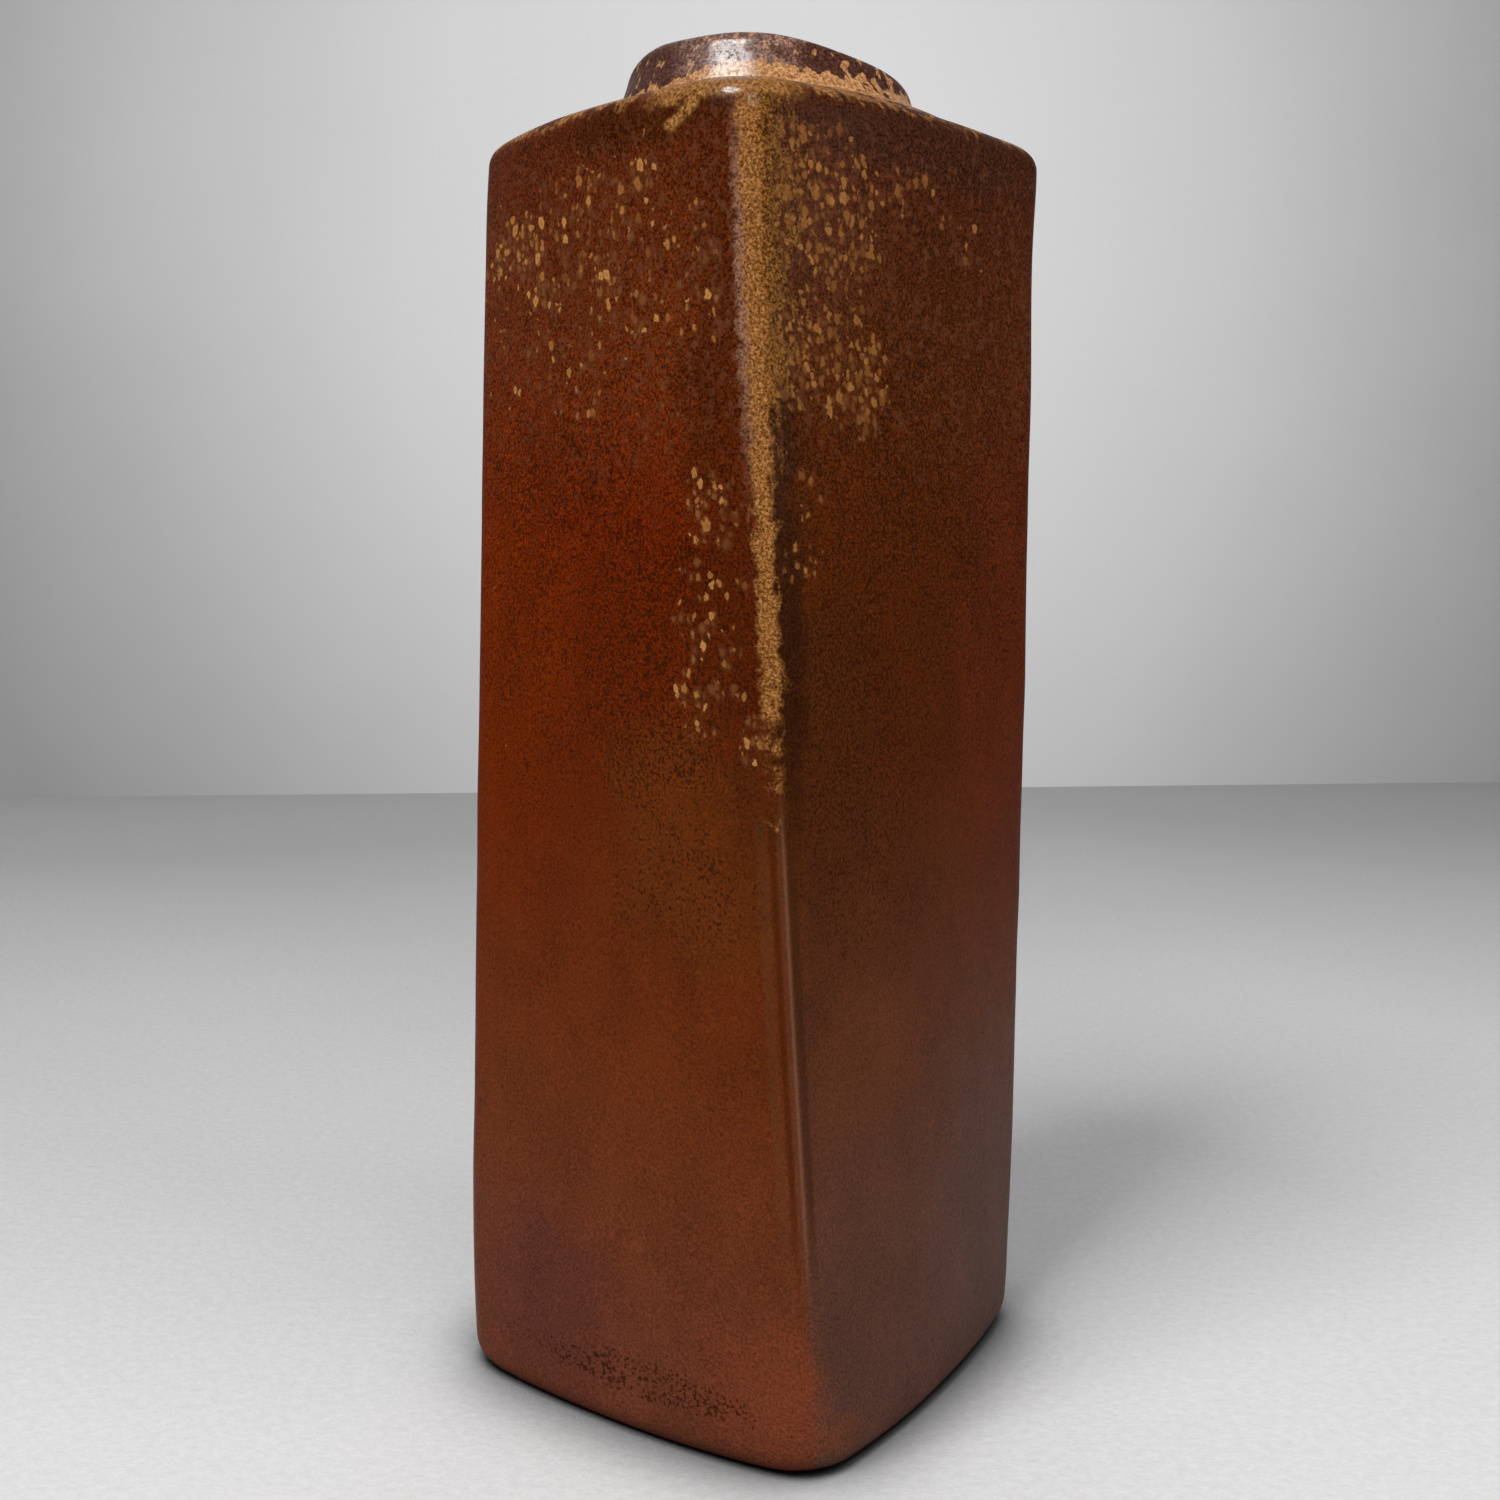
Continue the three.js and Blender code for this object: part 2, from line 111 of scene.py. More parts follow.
# The lamps: name, degrees round from the camera, distance, height, size and power
LAMPS = (
    ("key", -43, 0.8, 1.3, 0.55, 15.3),
    ("fill", 62, 1.1, 0.6, 0.7, 3.8),
    ("front", 15, 1.3, 0.8, 0.8, 3.8),
)
ROOM_LIGHT = 0.28

# The floor, with painted shade round the foot as far as the reach set below, and the wall, turned WALL_TURN
# degrees off the view
ROOM_WIDTH = 6
WALL_DISTANCE = 0.81
WALL_TURN = 7.5
WALL_SINK = 0.001
PAINTED_SHADE_REACH = 0.025

# How finely the sections are drawn
CORNER_STEPS = 4
SIDE_STEPS = 8
RING_POINTS = 4 * (CORNER_STEPS + SIDE_STEPS)
WALL_STEPS = 24
EDGE_STEPS = 4
SHOULDER_CUTS = 2
LIP_STEPS = 8
MOUTH_STEPS = 3
PICK_REACH = 0.0001

# What follows from these values
RIGHT_ANGLE = math.pi / 2
SHOULDER_EDGE_LEVEL = BODY_HEIGHT - SHOULDER_EDGE_HEIGHT
COLLAR_ROOT = BODY_HEIGHT + SHOULDER_RISE
COLLAR_TOP = COLLAR_ROOT + COLLAR_HEIGHT
LIP_RADIUS = COLLAR_RADIUS - COLLAR_TAPER
TOWARDS_LEAN = Vector((math.cos(LEAN_DIRECTION), math.sin(LEAN_DIRECTION), 0))
TOWARDS_FRONT = Vector((math.sin(VIEW_ANGLE), -math.cos(VIEW_ANGLE), 0))
TOWARDS_RIGHT = Vector((math.cos(VIEW_ANGLE), math.sin(VIEW_ANGLE), 0))
COLLAR_AXIS = TOWARDS_LEAN * COLLAR_SHIFT


def half_width_at(z):
    return (BASE_WIDTH + (TOP_WIDTH - BASE_WIDTH) * z / BODY_HEIGHT) / 2


def turn_at(z):
    share = min(max(z / BODY_HEIGHT, 0), 1)
    return BODY_TWIST * share + TWIST_BOW * 4 * share * (1 - share)


def tilt_at(z):
    return SHOULDER_TILT * (z / BODY_HEIGHT) ** 2


def corner_at(z):
    foot = FOOT_CORNER_GAIN * math.exp(-z / CORNER_FADE)
    shoulder = SHOULDER_CORNER_GAIN * math.exp((z - BODY_HEIGHT) / CORNER_FADE)
    return CORNER_RADIUS + foot + shoulder


def crown_at(z):
    foot = FOOT_CROWN_GAIN * math.exp(-z / CROWN_FADE)
    shoulder = SHOULDER_CROWN_GAIN * math.exp((z - BODY_HEIGHT) / CROWN_FADE)
    return FACE_CROWN + foot + shoulder


def spread(low, high, steps):
    return [low + (high - low) * i / steps for i in range(steps + 1)]


def start_piece(name):
    """A new piece in edit mode, still empty."""
    bpy.ops.object.select_all(action="DESELECT")
    bpy.ops.mesh.primitive_plane_add(size=BASE_WIDTH)
    piece = bpy.context.object
    piece.name = name
    bpy.ops.object.mode_set(mode="EDIT")
    bpy.ops.mesh.delete(type="VERT")
    bpy.ops.mesh.select_mode(type="EDGE")
    return piece


def select_points(wanted):
    bpy.ops.mesh.select_mode(type="VERT")
    mesh = bmesh.from_edit_mesh(bpy.context.object.data)
    for point in mesh.verts:
        point.select_set(not point.hide and wanted(point.co))
    mesh.select_flush_mode()
    bmesh.update_edit_mesh(bpy.context.object.data)


def select_edges(wanted):
    bpy.ops.mesh.select_mode(type="EDGE")
    mesh = bmesh.from_edit_mesh(bpy.context.object.data)
    for edge in mesh.edges:
        edge.select_set(not edge.hide and wanted(edge))
    mesh.select_flush_mode()
    bmesh.update_edit_mesh(bpy.context.object.data)


def select_rim(low, high):
    """Selects the open rims whose points lie between two heights."""
    select_edges(
        lambda edge: len(edge.link_faces) < 2 and all(low <= point.co.z <= high for point in edge.verts)
    )


def turn_and_tilt(turn, tilt, centre):
    """Turns the selection clockwise from above, then lets it fall towards the side the vase leans to."""
    bpy.ops.transform.rotate(value=turn + LEAN_DIRECTION, orient_axis="Z", center_override=centre)
    bpy.ops.transform.rotate(value=-tilt, orient_axis="Y", center_override=centre)
    bpy.ops.transform.rotate(value=-LEAN_DIRECTION, orient_axis="Z", center_override=centre)


def crown_sides(half_width, crown):
    """Draws the middle of each side of an outline outwards, so that the side becomes a bow."""
    for side in range(4):
        outward = Vector((math.cos(side * RIGHT_ANGLE), math.sin(side * RIGHT_ANGLE), 0))
        middle = outward.xy * half_width
        select_points(lambda place: (place.xy - middle).length < half_width / RING_POINTS)
        bpy.ops.transform.translate(
            value=outward * crown,
            use_proportional_edit=True,
            proportional_edit_falloff="INVERSE_SQUARE",
            proportional_size=half_width,
        )


def square_outline(z, half_width, corner, crown, turn=None):
    """Adds a rounded square with crowned sides, turned and tilted as the body is at that height."""
    bpy.ops.mesh.primitive_plane_add(size=2 * half_width, location=(0, 0, z))
    bpy.ops.mesh.bevel(
        offset=corner, offset_type="OFFSET", segments=CORNER_STEPS, profile=0.5, affect="VERTICES"
    )
    select_edges(lambda edge: edge.calc_length() > half_width)
    bpy.ops.mesh.subdivide(number_cuts=SIDE_STEPS - 1)
    bpy.ops.mesh.select_all(action="SELECT")
    bpy.ops.mesh.delete(type="ONLY_FACE")
    crown_sides(half_width, crown)
    bpy.ops.mesh.select_all(action="SELECT")
    turn_and_tilt(turn_at(z) if turn is None else turn, tilt_at(z), (0, 0, z))
    bpy.ops.mesh.hide(unselected=False)


def round_outline(z, radius):
    """Adds a circle about the collar's axis, tilted as the shoulder is."""
    centre = COLLAR_AXIS + Vector((0, 0, z))
    bpy.ops.mesh.primitive_circle_add(vertices=RING_POINTS, radius=radius, location=centre)
    turn_and_tilt(turn_at(BODY_HEIGHT), tilt_at(z), centre)
    bpy.ops.mesh.hide(unselected=False)


def join_outlines():
    """Joins all outlines drawn so far, from the lowest to the highest."""
    bpy.ops.mesh.reveal(select=True)
    bpy.ops.mesh.bridge_edge_loops(type="SINGLE")


def extrude_rim(centre, rise, scale, tilt=0):
    """Extrudes the selected rim upwards by `rise`, scales it about its centre and lets it fall by `tilt`."""
    bpy.ops.mesh.extrude_edges_move(TRANSFORM_OT_translate={"value": (0, 0, rise)})
    raised = Vector(centre) + Vector((0, 0, rise))
    bpy.ops.transform.resize(value=(scale, scale, scale), center_override=raised)
    if tilt:
        turn_and_tilt(0, tilt, raised)
    return raised


def add_shoulder():
    """Draws the shoulder in from the edge to the collar's root, swelling softly."""
    round_outline(COLLAR_ROOT, COLLAR_RADIUS + COLLAR_ROOT_FILLET)
    bpy.ops.mesh.reveal(select=False)
    select_rim(BODY_HEIGHT - SHOULDER_RISE, COLLAR_ROOT + SHOULDER_RISE)
    mesh = bmesh.from_edit_mesh(bpy.context.object.data)
    drawn = {tuple(point.co) for point in mesh.verts}
    bpy.ops.mesh.bridge_edge_loops(number_cuts=SHOULDER_CUTS, interpolation="LINEAR")
    select_points(lambda place: tuple(place) not in drawn)
    bpy.ops.transform.translate(value=(0, 0, SHOULDER_SWELL))


def add_collar():
    """Draws the collar up from its root, over the lip and down inside the mouth."""
    select_rim(COLLAR_ROOT - SHOULDER_SWELL, COLLAR_ROOT + SHOULDER_RISE)
    centre = COLLAR_AXIS + Vector((0, 0, COLLAR_ROOT))
    radius = COLLAR_RADIUS + COLLAR_ROOT_FILLET
    tilt = 0

    def grow(next_radius, level, rim):
        nonlocal centre, radius, tilt
        rise = level - centre.z
        centre = extrude_rim(centre, rise, next_radius / radius, MOUTH_TILT * rim - tilt)
        radius = next_radius
        tilt = MOUTH_TILT * rim

    middle = COLLAR_ROOT_FILLET * (1 - math.sqrt(0.5))
    grow(COLLAR_RADIUS + middle, COLLAR_ROOT + middle, middle / COLLAR_HEIGHT)
    grow(COLLAR_RADIUS, COLLAR_ROOT + COLLAR_ROOT_FILLET, COLLAR_ROOT_FILLET / COLLAR_HEIGHT)
    half_lip = (LIP_RADIUS - MOUTH_RADIUS) / 2
    for angle in spread(0, math.pi, LIP_STEPS):
        reach = MOUTH_RADIUS + half_lip * (1 + math.cos(angle))
        grow(reach, COLLAR_TOP + LIP_RISE * math.sin(angle), 1)
    for share in spread(0, 1, MOUTH_STEPS)[1:]:
        grow(MOUTH_RADIUS, COLLAR_TOP + (CAVITY_CEILING - COLLAR_TOP) * share, 1 - share)


def pull(near, offset, reach):
    """Pulls the point nearest to a place, and softly what lies within reach of it, as a thumb would."""
    points = bmesh.from_edit_mesh(bpy.context.object.data).verts
    target = min((point.co for point in points), key=lambda place: (place - near).length).copy()
    select_points(lambda place: (place - target).length < PICK_REACH)
    bpy.ops.transform.translate(value=offset, use_proportional_edit=True, proportional_size=reach)


def shape_rim():
    """Lets the rim sink and swell on the side away from the lean and rise at the front, outside the mouth."""
    middle = (LIP_RADIUS + MOUTH_RADIUS) / 2
    select_points(lambda place: (place - COLLAR_AXIS).xy.length < middle - RIM_KEPT)
    bpy.ops.mesh.hide(unselected=False)
    low_side = COLLAR_AXIS - TOWARDS_LEAN * LIP_RADIUS + Vector((0, 0, COLLAR_TOP))
    pull(low_side, Vector((0, 0, -RIM_SINK)) - TOWARDS_LEAN * RIM_SWELL, RIM_REACH)
    front = COLLAR_AXIS + TOWARDS_FRONT * middle + Vector((0, 0, COLLAR_TOP + LIP_RISE))
    pull(front, Vector((0, 0, RIM_LIFT)), RIM_REACH)
    bpy.ops.mesh.reveal(select=False)


def shape_shoulder():
    """Squeezes the shoulder out a little at the right corner, as where two slabs were pressed together."""
    corner = TOWARDS_RIGHT * half_width_at(BODY_HEIGHT) * math.sqrt(2)
    squeeze = TOWARDS_RIGHT * CORNER_SWELL + Vector((0, 0, CORNER_LIFT))
    pull(corner + Vector((0, 0, BODY_HEIGHT)), squeeze, CORNER_REACH)


def side_levels(low, high, steps):
    """Heights up the sides, closer together near both ends."""
    return [low + (high - low) * (1 - math.cos(math.pi * i / steps)) / 2 for i in range(steps + 1)]


def foot_edge(inset, start):
    """Draws the outlines round the foot's edge, from `start` below the horizontal up to the level side."""
    reach = FOOT_EDGE_RADIUS - inset
    for angle in spread(-start, 0, EDGE_STEPS)[:-1]:
        z = FOOT_EDGE_LEVEL + reach * math.sin(angle)
        half_width = half_width_at(FOOT_EDGE_LEVEL) - FOOT_EDGE_RADIUS + reach * math.cos(angle)
        square_outline(z, half_width, corner_at(z) - inset, crown_at(z))


def shoulder_edge():
    for angle in spread(0, RIGHT_ANGLE, EDGE_STEPS)[1:]:
        z = SHOULDER_EDGE_LEVEL + SHOULDER_EDGE_HEIGHT * math.sin(angle)
        half_width = half_width_at(SHOULDER_EDGE_LEVEL) - SHOULDER_EDGE_REACH * (1 - math.cos(angle))
        square_outline(z, half_width, corner_at(z), crown_at(z))


def close_rim(low, high):
    """Closes a level rim to its middle with one ring of faces and a fan."""
    select_rim(low, high)
    bpy.ops.mesh.extrude_edges_move(TRANSFORM_OT_translate={"value": (0, 0, 0)})
    bpy.ops.transform.resize(value=(0.5, 0.5, 1), center_override=(0, 0, low))
    bpy.ops.mesh.extrude_edges_move(TRANSFORM_OT_translate={"value": (0, 0, 0)})
    bpy.ops.mesh.merge(type="CENTER")


def use_modifier(piece, kind, **settings):
    modifier = piece.modifiers.new(kind.title(), kind)
    for setting, value in settings.items():
        setattr(modifier, setting, value)
    bpy.ops.object.modifier_apply(modifier=modifier.name)


def finish_piece(piece, fineness, unevenness=0, thickness=0):
    """Turns the drawn cage into the finished skin: smooth, uneven as by hand and as thick as its coat."""
    bpy.ops.mesh.reveal(select=True)
    bpy.ops.mesh.select_all(action="SELECT")
    bpy.ops.mesh.normals_make_consistent(inside=False)
    bpy.ops.object.mode_set(mode="OBJECT")
    use_modifier(piece, "SUBSURF", levels=fineness, render_levels=fineness)
    if unevenness:
        hand = bpy.data.textures.new(piece.name + "_hand", "CLOUDS")
        hand.noise_scale = HAND_WAVE
        hand.noise_depth = 1
        use_modifier(piece, "DISPLACE", texture=hand, strength=unevenness, mid_level=0.5)
    if thickness:
        use_modifier(piece, "SOLIDIFY", thickness=thickness, offset=-1, use_even_offset=True)
    bpy.ops.object.shade_smooth()
    return piece


def make_glaze_coat():
    """The outer glaze: foot edge, sides, shoulder, collar, over the lip and down inside the mouth."""
    coat = start_piece("glaze_coat")
    foot_edge(0, GLAZE_STOP_ANGLE)
    for z in side_levels(FOOT_EDGE_LEVEL, SHOULDER_EDGE_LEVEL, WALL_STEPS):
        square_outline(z, half_width_at(z), corner_at(z), crown_at(z))
    shoulder_edge()
    join_outlines()
    add_shoulder()
    add_collar()
    shape_rim()
    shape_shoulder()
    return finish_piece(coat, fineness=2, unevenness=HAND_UNEVENNESS, thickness=GLAZE_THICKNESS)


def make_foot():
    """The bare clay foot: floor slab, rounded edge, resting rim and the shallow recess inside it."""
    foot = start_piece("bare_foot")
    foot_edge(CLAY_INSET, RIGHT_ANGLE)
    for z in (FOOT_EDGE_LEVEL, FLOOR_THICKNESS - FOOT_SOFTENING, FLOOR_THICKNESS):
        square_outline(z, half_width_at(z) - CLAY_INSET, corner_at(z) - CLAY_INSET, crown_at(z))
    join_outlines()
    bpy.ops.mesh.reveal(select=False)
    close_rim(FLOOR_THICKNESS - FOOT_SOFTENING / 2, FLOOR_THICKNESS + FOOT_SOFTENING / 2)
    select_rim(-FOOT_SOFTENING, FOOT_SOFTENING)
    reach = half_width_at(FOOT_EDGE_LEVEL) - FOOT_EDGE_RADIUS
    inner = reach - FOOT_RIM_WIDTH
    centre = Vector((0, 0, 0))
    for next_reach, rise in (
        (reach - FOOT_RIM_WIDTH / 3, 0),
        (inner + FOOT_SOFTENING * 2, 0),
        (inner, FOOT_SOFTENING),
        (inner - FOOT_RECESS_DEPTH, FOOT_RECESS_DEPTH - FOOT_SOFTENING),
        (inner - FOOT_RECESS_DEPTH - FOOT_SOFTENING * 2, 0),
    ):
        centre = extrude_rim(centre, rise, next_reach / reach)
        reach = next_reach
    close_rim(FOOT_RECESS_DEPTH - FOOT_SOFTENING / 2, FOOT_RECESS_DEPTH + FOOT_SOFTENING / 2)
    return finish_piece(foot, fineness=2)


def make_liner():
    """The liner glaze: over the floor, up the walls and under the shoulder to the mouth."""
    liner = start_piece("liner_coat")
    low = CAVITY_FLOOR + CAVITY_FILLET
    high = CAVITY_CEILING - CAVITY_FILLET

    def fillet(level, sign, start, end):
        for angle in spread(start, end, EDGE_STEPS):
            reach = CAVITY_FILLET * math.cos(angle)
            half_width = half_width_at(level) - LINER_INSET - CAVITY_FILLET + reach
            z = level + sign * CAVITY_FILLET * math.sin(angle)
            square_outline(z, half_width, max(reach, CAVITY_CORNER), CAVITY_CROWN, turn_at(level))

    fillet(low, -1, RIGHT_ANGLE, 0)
    for z in side_levels(low, high, WALL_STEPS // 2)[1:-1]:
        square_outline(z, half_width_at(z) - LINER_INSET, CAVITY_FILLET, CAVITY_CROWN)
    fillet(high, 1, 0, RIGHT_ANGLE)
    join_outlines()
    bpy.ops.mesh.reveal(select=False)
    close_rim(CAVITY_FLOOR - LINER_THICKNESS, CAVITY_FLOOR + LINER_THICKNESS)
    round_outline(CAVITY_CEILING, MOUTH_RADIUS + CLAY_INSET)
    bpy.ops.mesh.reveal(select=False)
    select_rim(CAVITY_CEILING - LINER_THICKNESS, CAVITY_CEILING + LINER_THICKNESS)
    bpy.ops.mesh.bridge_edge_loops()
    return finish_piece(liner, fineness=1, thickness=LINER_THICKNESS)


class Wiring:
    """One node tree, with short names for the nodes that the finishes are wired from."""

    def __init__(self, tree):
        self.tree = tree

    def add(self, kind, inputs, **settings):
        node = self.tree.nodes.new("ShaderNode" + kind)
        for setting, value in settings.items():
            setattr(node, setting, value)
        for socket, value in inputs.items():
            self.link(value, node.inputs[socket])
        return node

    def link(self, value, socket):
        """Gives a socket another node's output, or a value that is the same all over."""
        if isinstance(value, bpy.types.NodeSocket):
            self.tree.links.new(value, socket)
        else:
            socket.default_value = value

    def maths(self, operation, *values):
        return self.add("Math", dict(enumerate(values)), operation=operation).outputs[0]

    def times(self, product, *others):
        for other in others:
            product = self.maths("MULTIPLY", product, other)
        return product

    def evenly(self, value):
        return self.add("CombineXYZ", dict.fromkeys(range(3), value)).outputs[0]

    def minus(self, value, other):
        return self.maths("SUBTRACT", value, other)

    def most(self, value, other):
        return self.maths("MAXIMUM", value, other)

    def linear(self, value, slope, start):
        return self.maths("MULTIPLY_ADD", value, slope, start)

    def vector(self, operation, *values):
        return self.add("VectorMath", dict(enumerate(values)), operation=operation).outputs[0]

    def mix(self, share, under, over):
        return self.add("Mix", {0: share, 6: under, 7: over}, data_type="RGBA").outputs[2]

    def blend(self, share, low, high):
        """A number that goes from one value to another as `share` goes from 0 to 1."""
        return self.add("Mix", {0: share, 2: low, 3: high}, data_type="FLOAT").outputs[0]

    def between(self, value, low, high):
        """0 below `low`, 1 above `high` and a soft step in between."""
        inputs = {0: value, 1: low, 2: high}
        return self.add("MapRange", inputs, interpolation_type="SMOOTHSTEP").outputs[0]

    def sway(self, noise, depth, base):
        """A number that a noise moves up and down around `base`."""
        return self.linear(self.minus(noise, 0.5), depth, base)

    def noise(self, place, scale, detail, roughness):
        inputs = {"Vector": place, "Scale": scale, "Detail": detail, "Roughness": roughness}
        return self.add("TexNoise", inputs).outputs[0]

    def ramp(self, value, stops):
        node = self.add("ValToRGB", {0: value})
        marks = node.color_ramp.elements
        while len(marks) < len(stops):
            marks.new(0.5)
        for mark, (position, colour) in zip(marks, stops):
            mark.position = position
            mark.color = seen(*colour)
        return node.outputs[0]

    def use(self, group, **inputs):
        """Places a group, with the inputs that are given by name, an underscore for each space."""
        node = self.add("Group", {}, node_tree=group)
        for name, value in inputs.items():
            self.link(value, node.inputs[name.replace("_", " ").capitalize()])
        return node.outputs


def start_group(name, inputs, outputs):
    """A node group with inputs (name: default value) and outputs (name: kind), its wiring and its ends."""
    group = bpy.data.node_groups.new(name, "ShaderNodeTree")
    for socket, default in inputs.items():
        kind = "NodeSocketVector" if default is None else "NodeSocketFloat"
        made = group.interface.new_socket(socket, in_out="INPUT", socket_type=kind)
        if default is not None:
            made.default_value = default
    for socket, kind in outputs.items():
        group.interface.new_socket(socket, in_out="OUTPUT", socket_type="NodeSocket" + kind)
    start = group.nodes.new("NodeGroupInput").outputs
    end = group.nodes.new("NodeGroupOutput").inputs
    return group, Wiring(group), start, end


def seen(red, green, blue):
    """A colour as it looks on a screen, 0 to 255, as the linear colour that a shader takes."""
    linear = [((c / 255 + 0.055) / 1.055) ** 2.4 if c > 10 else c / 255 / 12.92 for c in (red, green, blue)]
    return (*linear, 1)


# Where the rear sides lie, as y - x in mm: there zones wander, by half of REAR_DRIFT at most, and Near ends
REAR_FADE = (10, 60)
REAR_DRIFT = 70
NEAR_FADE = (45, 5)


def make_unrolled():
    """Where a point lies once the twist is taken out, in mm. Across is its distance round the ridge
    between the front and right sides, below zero on the front and left. Near is 1 on the two sides that
    meet there and 0 round the back."""
    group, wire, _, end = start_group(
        "Unrolled vase", {}, {"Place": "Vector", "Across": "Float", "Height": "Float", "Near": "Float"}
    )
    place = wire.add("TexCoord", {}).outputs["Object"]
    share = wire.maths("DIVIDE", wire.add("SeparateXYZ", {0: place}).outputs[2], BODY_HEIGHT)
    share = wire.maths("MINIMUM", wire.most(share, 0.0), 1.0)
    bow = wire.times(share, wire.minus(1.0, share))
    twist = wire.linear(bow, 4 * TWIST_BOW, wire.times(share, BODY_TWIST))
    straight = wire.add("VectorRotate", {"Vector": place, "Angle": twist}, rotation_type="Z_AXIS").outputs[0]
    straight = wire.vector("MULTIPLY", straight, (1000, 1000, 1000))
    x, y, z = wire.add("SeparateXYZ", {0: straight}).outputs
    behind = wire.minus(y, x)
    rear = wire.between(behind, *REAR_FADE)
    drift = wire.add("TexNoise", {"Vector": straight, "Scale": 0.02, "Detail": 1}).outputs[1]
    drift = wire.add("SeparateColor", {0: drift}).outputs
    away = wire.times(rear, REAR_DRIFT)
    wire.link(straight, end["Place"])
    sideways = wire.times(wire.minus(drift[0], 0.5), away)
    upwards = wire.times(wire.minus(drift[1], 0.5), away)
    wire.link(wire.maths("ADD", wire.maths("ADD", x, y), sideways), end["Across"])
    wire.link(wire.maths("ADD", z, upwards), end["Height"])
    wire.link(wire.between(behind, *NEAR_FADE), end["Near"])
    return group


# How far out an oval zone starts to show and is full, as shares of its reach
ZONE_FADE = (1.15, 0.45)
ZONE_INPUTS = ("Across", "Height", "Ragged", "Centre across", "Centre height", "Reach across", "Reach height")


def make_soft_zone():
    """A soft oval zone on the unrolled sides: 1 in its middle, 0 outside."""
    group, wire, start, end = start_group("Soft zone", dict.fromkeys(ZONE_INPUTS, 1.0), {"Zone": "Float"})
    aside = wire.minus(start["Across"], start["Centre across"])
    aside = wire.maths("DIVIDE", aside, start["Reach across"])
    above = wire.minus(start["Height"], start["Centre height"])
    above = wire.maths("DIVIDE", above, start["Reach height"])
    square = wire.linear(aside, aside, wire.times(above, above))
    distance = wire.maths("ADD", wire.maths("SQRT", square), start["Ragged"])
    wire.link(wire.between(distance, *ZONE_FADE), end["Zone"])
    return group


# A drop's outline: its wobble in mm, its stretch, and its radius as a share of its cell
DROP_WOBBLE = (1.6, 2.0, 0)
DROP_STRETCH = (1, 0.85, 1)
DROP_RADII = (0.19, 0.42)

# How deep inside a drop's outline its body, its heart and its halo start and are full
DROP_DEPTH = (-0.05, 0.13)
HEART_DEPTH = (0.13, 0.3)
HALO_DEPTH = (-0.42, 0.0)


def make_drops():
    """Ash that ran together into drops, as many as Cover allows, each with its size, tint and soft halo."""
    group, wire, start, end = start_group(
        "Ash drops",
        {"Place": None, "Cover": 0.0, "Cell": 2.4, "Shift": 0.0},
        {"Drop": "Float", "Heart": "Float", "Halo": "Float", "Tint": "Float"},
    )
    x, y, z = wire.add("SeparateXYZ", {0: start["Place"]}).outputs
    place = wire.add("CombineXYZ", {0: wire.maths("ADD", x, y), 1: z, 2: start["Shift"]}).outputs[0]
    wobble = wire.add("TexNoise", {"Vector": place, "Scale": 0.8, "Detail": 2}).outputs[1]
    wobble = wire.vector("MULTIPLY", wire.vector("SUBTRACT", wobble, (0.5, 0.5, 0.5)), DROP_WOBBLE)
    place = wire.vector("ADD", place, wobble)
    shift = wire.add("CombineXYZ", {0: start["Shift"], 1: start["Shift"]}).outputs[0]
    place = wire.vector("MULTIPLY", wire.vector("ADD", place, shift), DROP_STRETCH)
    place = wire.vector("DIVIDE", place, wire.evenly(start["Cell"]))
    cells = wire.add("TexVoronoi", {"Vector": place, "Scale": 1.0}, voronoi_dimensions="2D").outputs
    lot = wire.add("SeparateColor", {0: cells["Color"]}).outputs
    size = wire.between(start["Cover"], lot[0], wire.maths("ADD", lot[0], 0.12))
    size = wire.times(size, wire.blend(lot[1], *DROP_RADII))
    depth = wire.minus(size, cells["Distance"])
    wire.link(wire.between(depth, *DROP_DEPTH), end["Drop"])
    wire.link(wire.between(depth, *HEART_DEPTH), end["Heart"])
    halo = wire.times(wire.between(depth, *HALO_DEPTH), wire.between(size, 0.0, 0.2))
    wire.link(halo, end["Halo"])
    wire.link(lot[2], end["Tint"])
    return group


# The grain at which specks show at no cover, how much lower it is at full cover, and how soft they are
SPECK_LIMIT = 0.74
SPECK_SHARE = 0.22
SPECK_EDGE = 0.07


def make_specks():
    """Fine dots, as many as Cover allows."""
    group, wire, start, end = start_group(
        "Fine specks", {"Place": None, "Cover": 0.0, "Size": 0.6}, {"Speck": "Float"}
    )
    place = wire.vector("DIVIDE", start["Place"], wire.evenly(start["Size"]))
    grain = wire.noise(place, 0.8, 1.5, 0.6)
    limit = wire.linear(start["Cover"], -SPECK_SHARE, SPECK_LIMIT)
    speck = wire.between(grain, limit, wire.maths("ADD", limit, SPECK_EDGE))
    wire.link(speck, end["Speck"])
    return group


# The smallest and the largest pinhole as shares of Size, and the softness of their edge in mm
HOLE_SHARES = (0.4, 1.3)
HOLE_EDGE = 0.15


def make_pinholes():
    """Scattered pale pinholes where the glaze burst and healed."""
    group, wire, start, end = start_group(
        "Pinholes", {"Place": None, "Spacing": 12.0, "Size": 0.3}, {"Hole": "Float"}
    )
    place = wire.vector("DIVIDE", start["Place"], wire.evenly(start["Spacing"]))
    cells = wire.add("TexVoronoi", {"Vector": place, "Scale": 1.0}).outputs
    distance = wire.times(cells["Distance"], start["Spacing"])
    lot = wire.add("SeparateColor", {0: cells["Color"]}).outputs[0]
    size = wire.times(start["Size"], wire.blend(lot, *HOLE_SHARES))
    hole = wire.between(wire.minus(size, distance), 0.0, HOLE_EDGE)
    wire.link(hole, end["Hole"])
    return group


unrolled = make_unrolled()
soft_zone = make_soft_zone()
ash_drops = make_drops()
fine_specks = make_specks()
pinholes = make_pinholes()


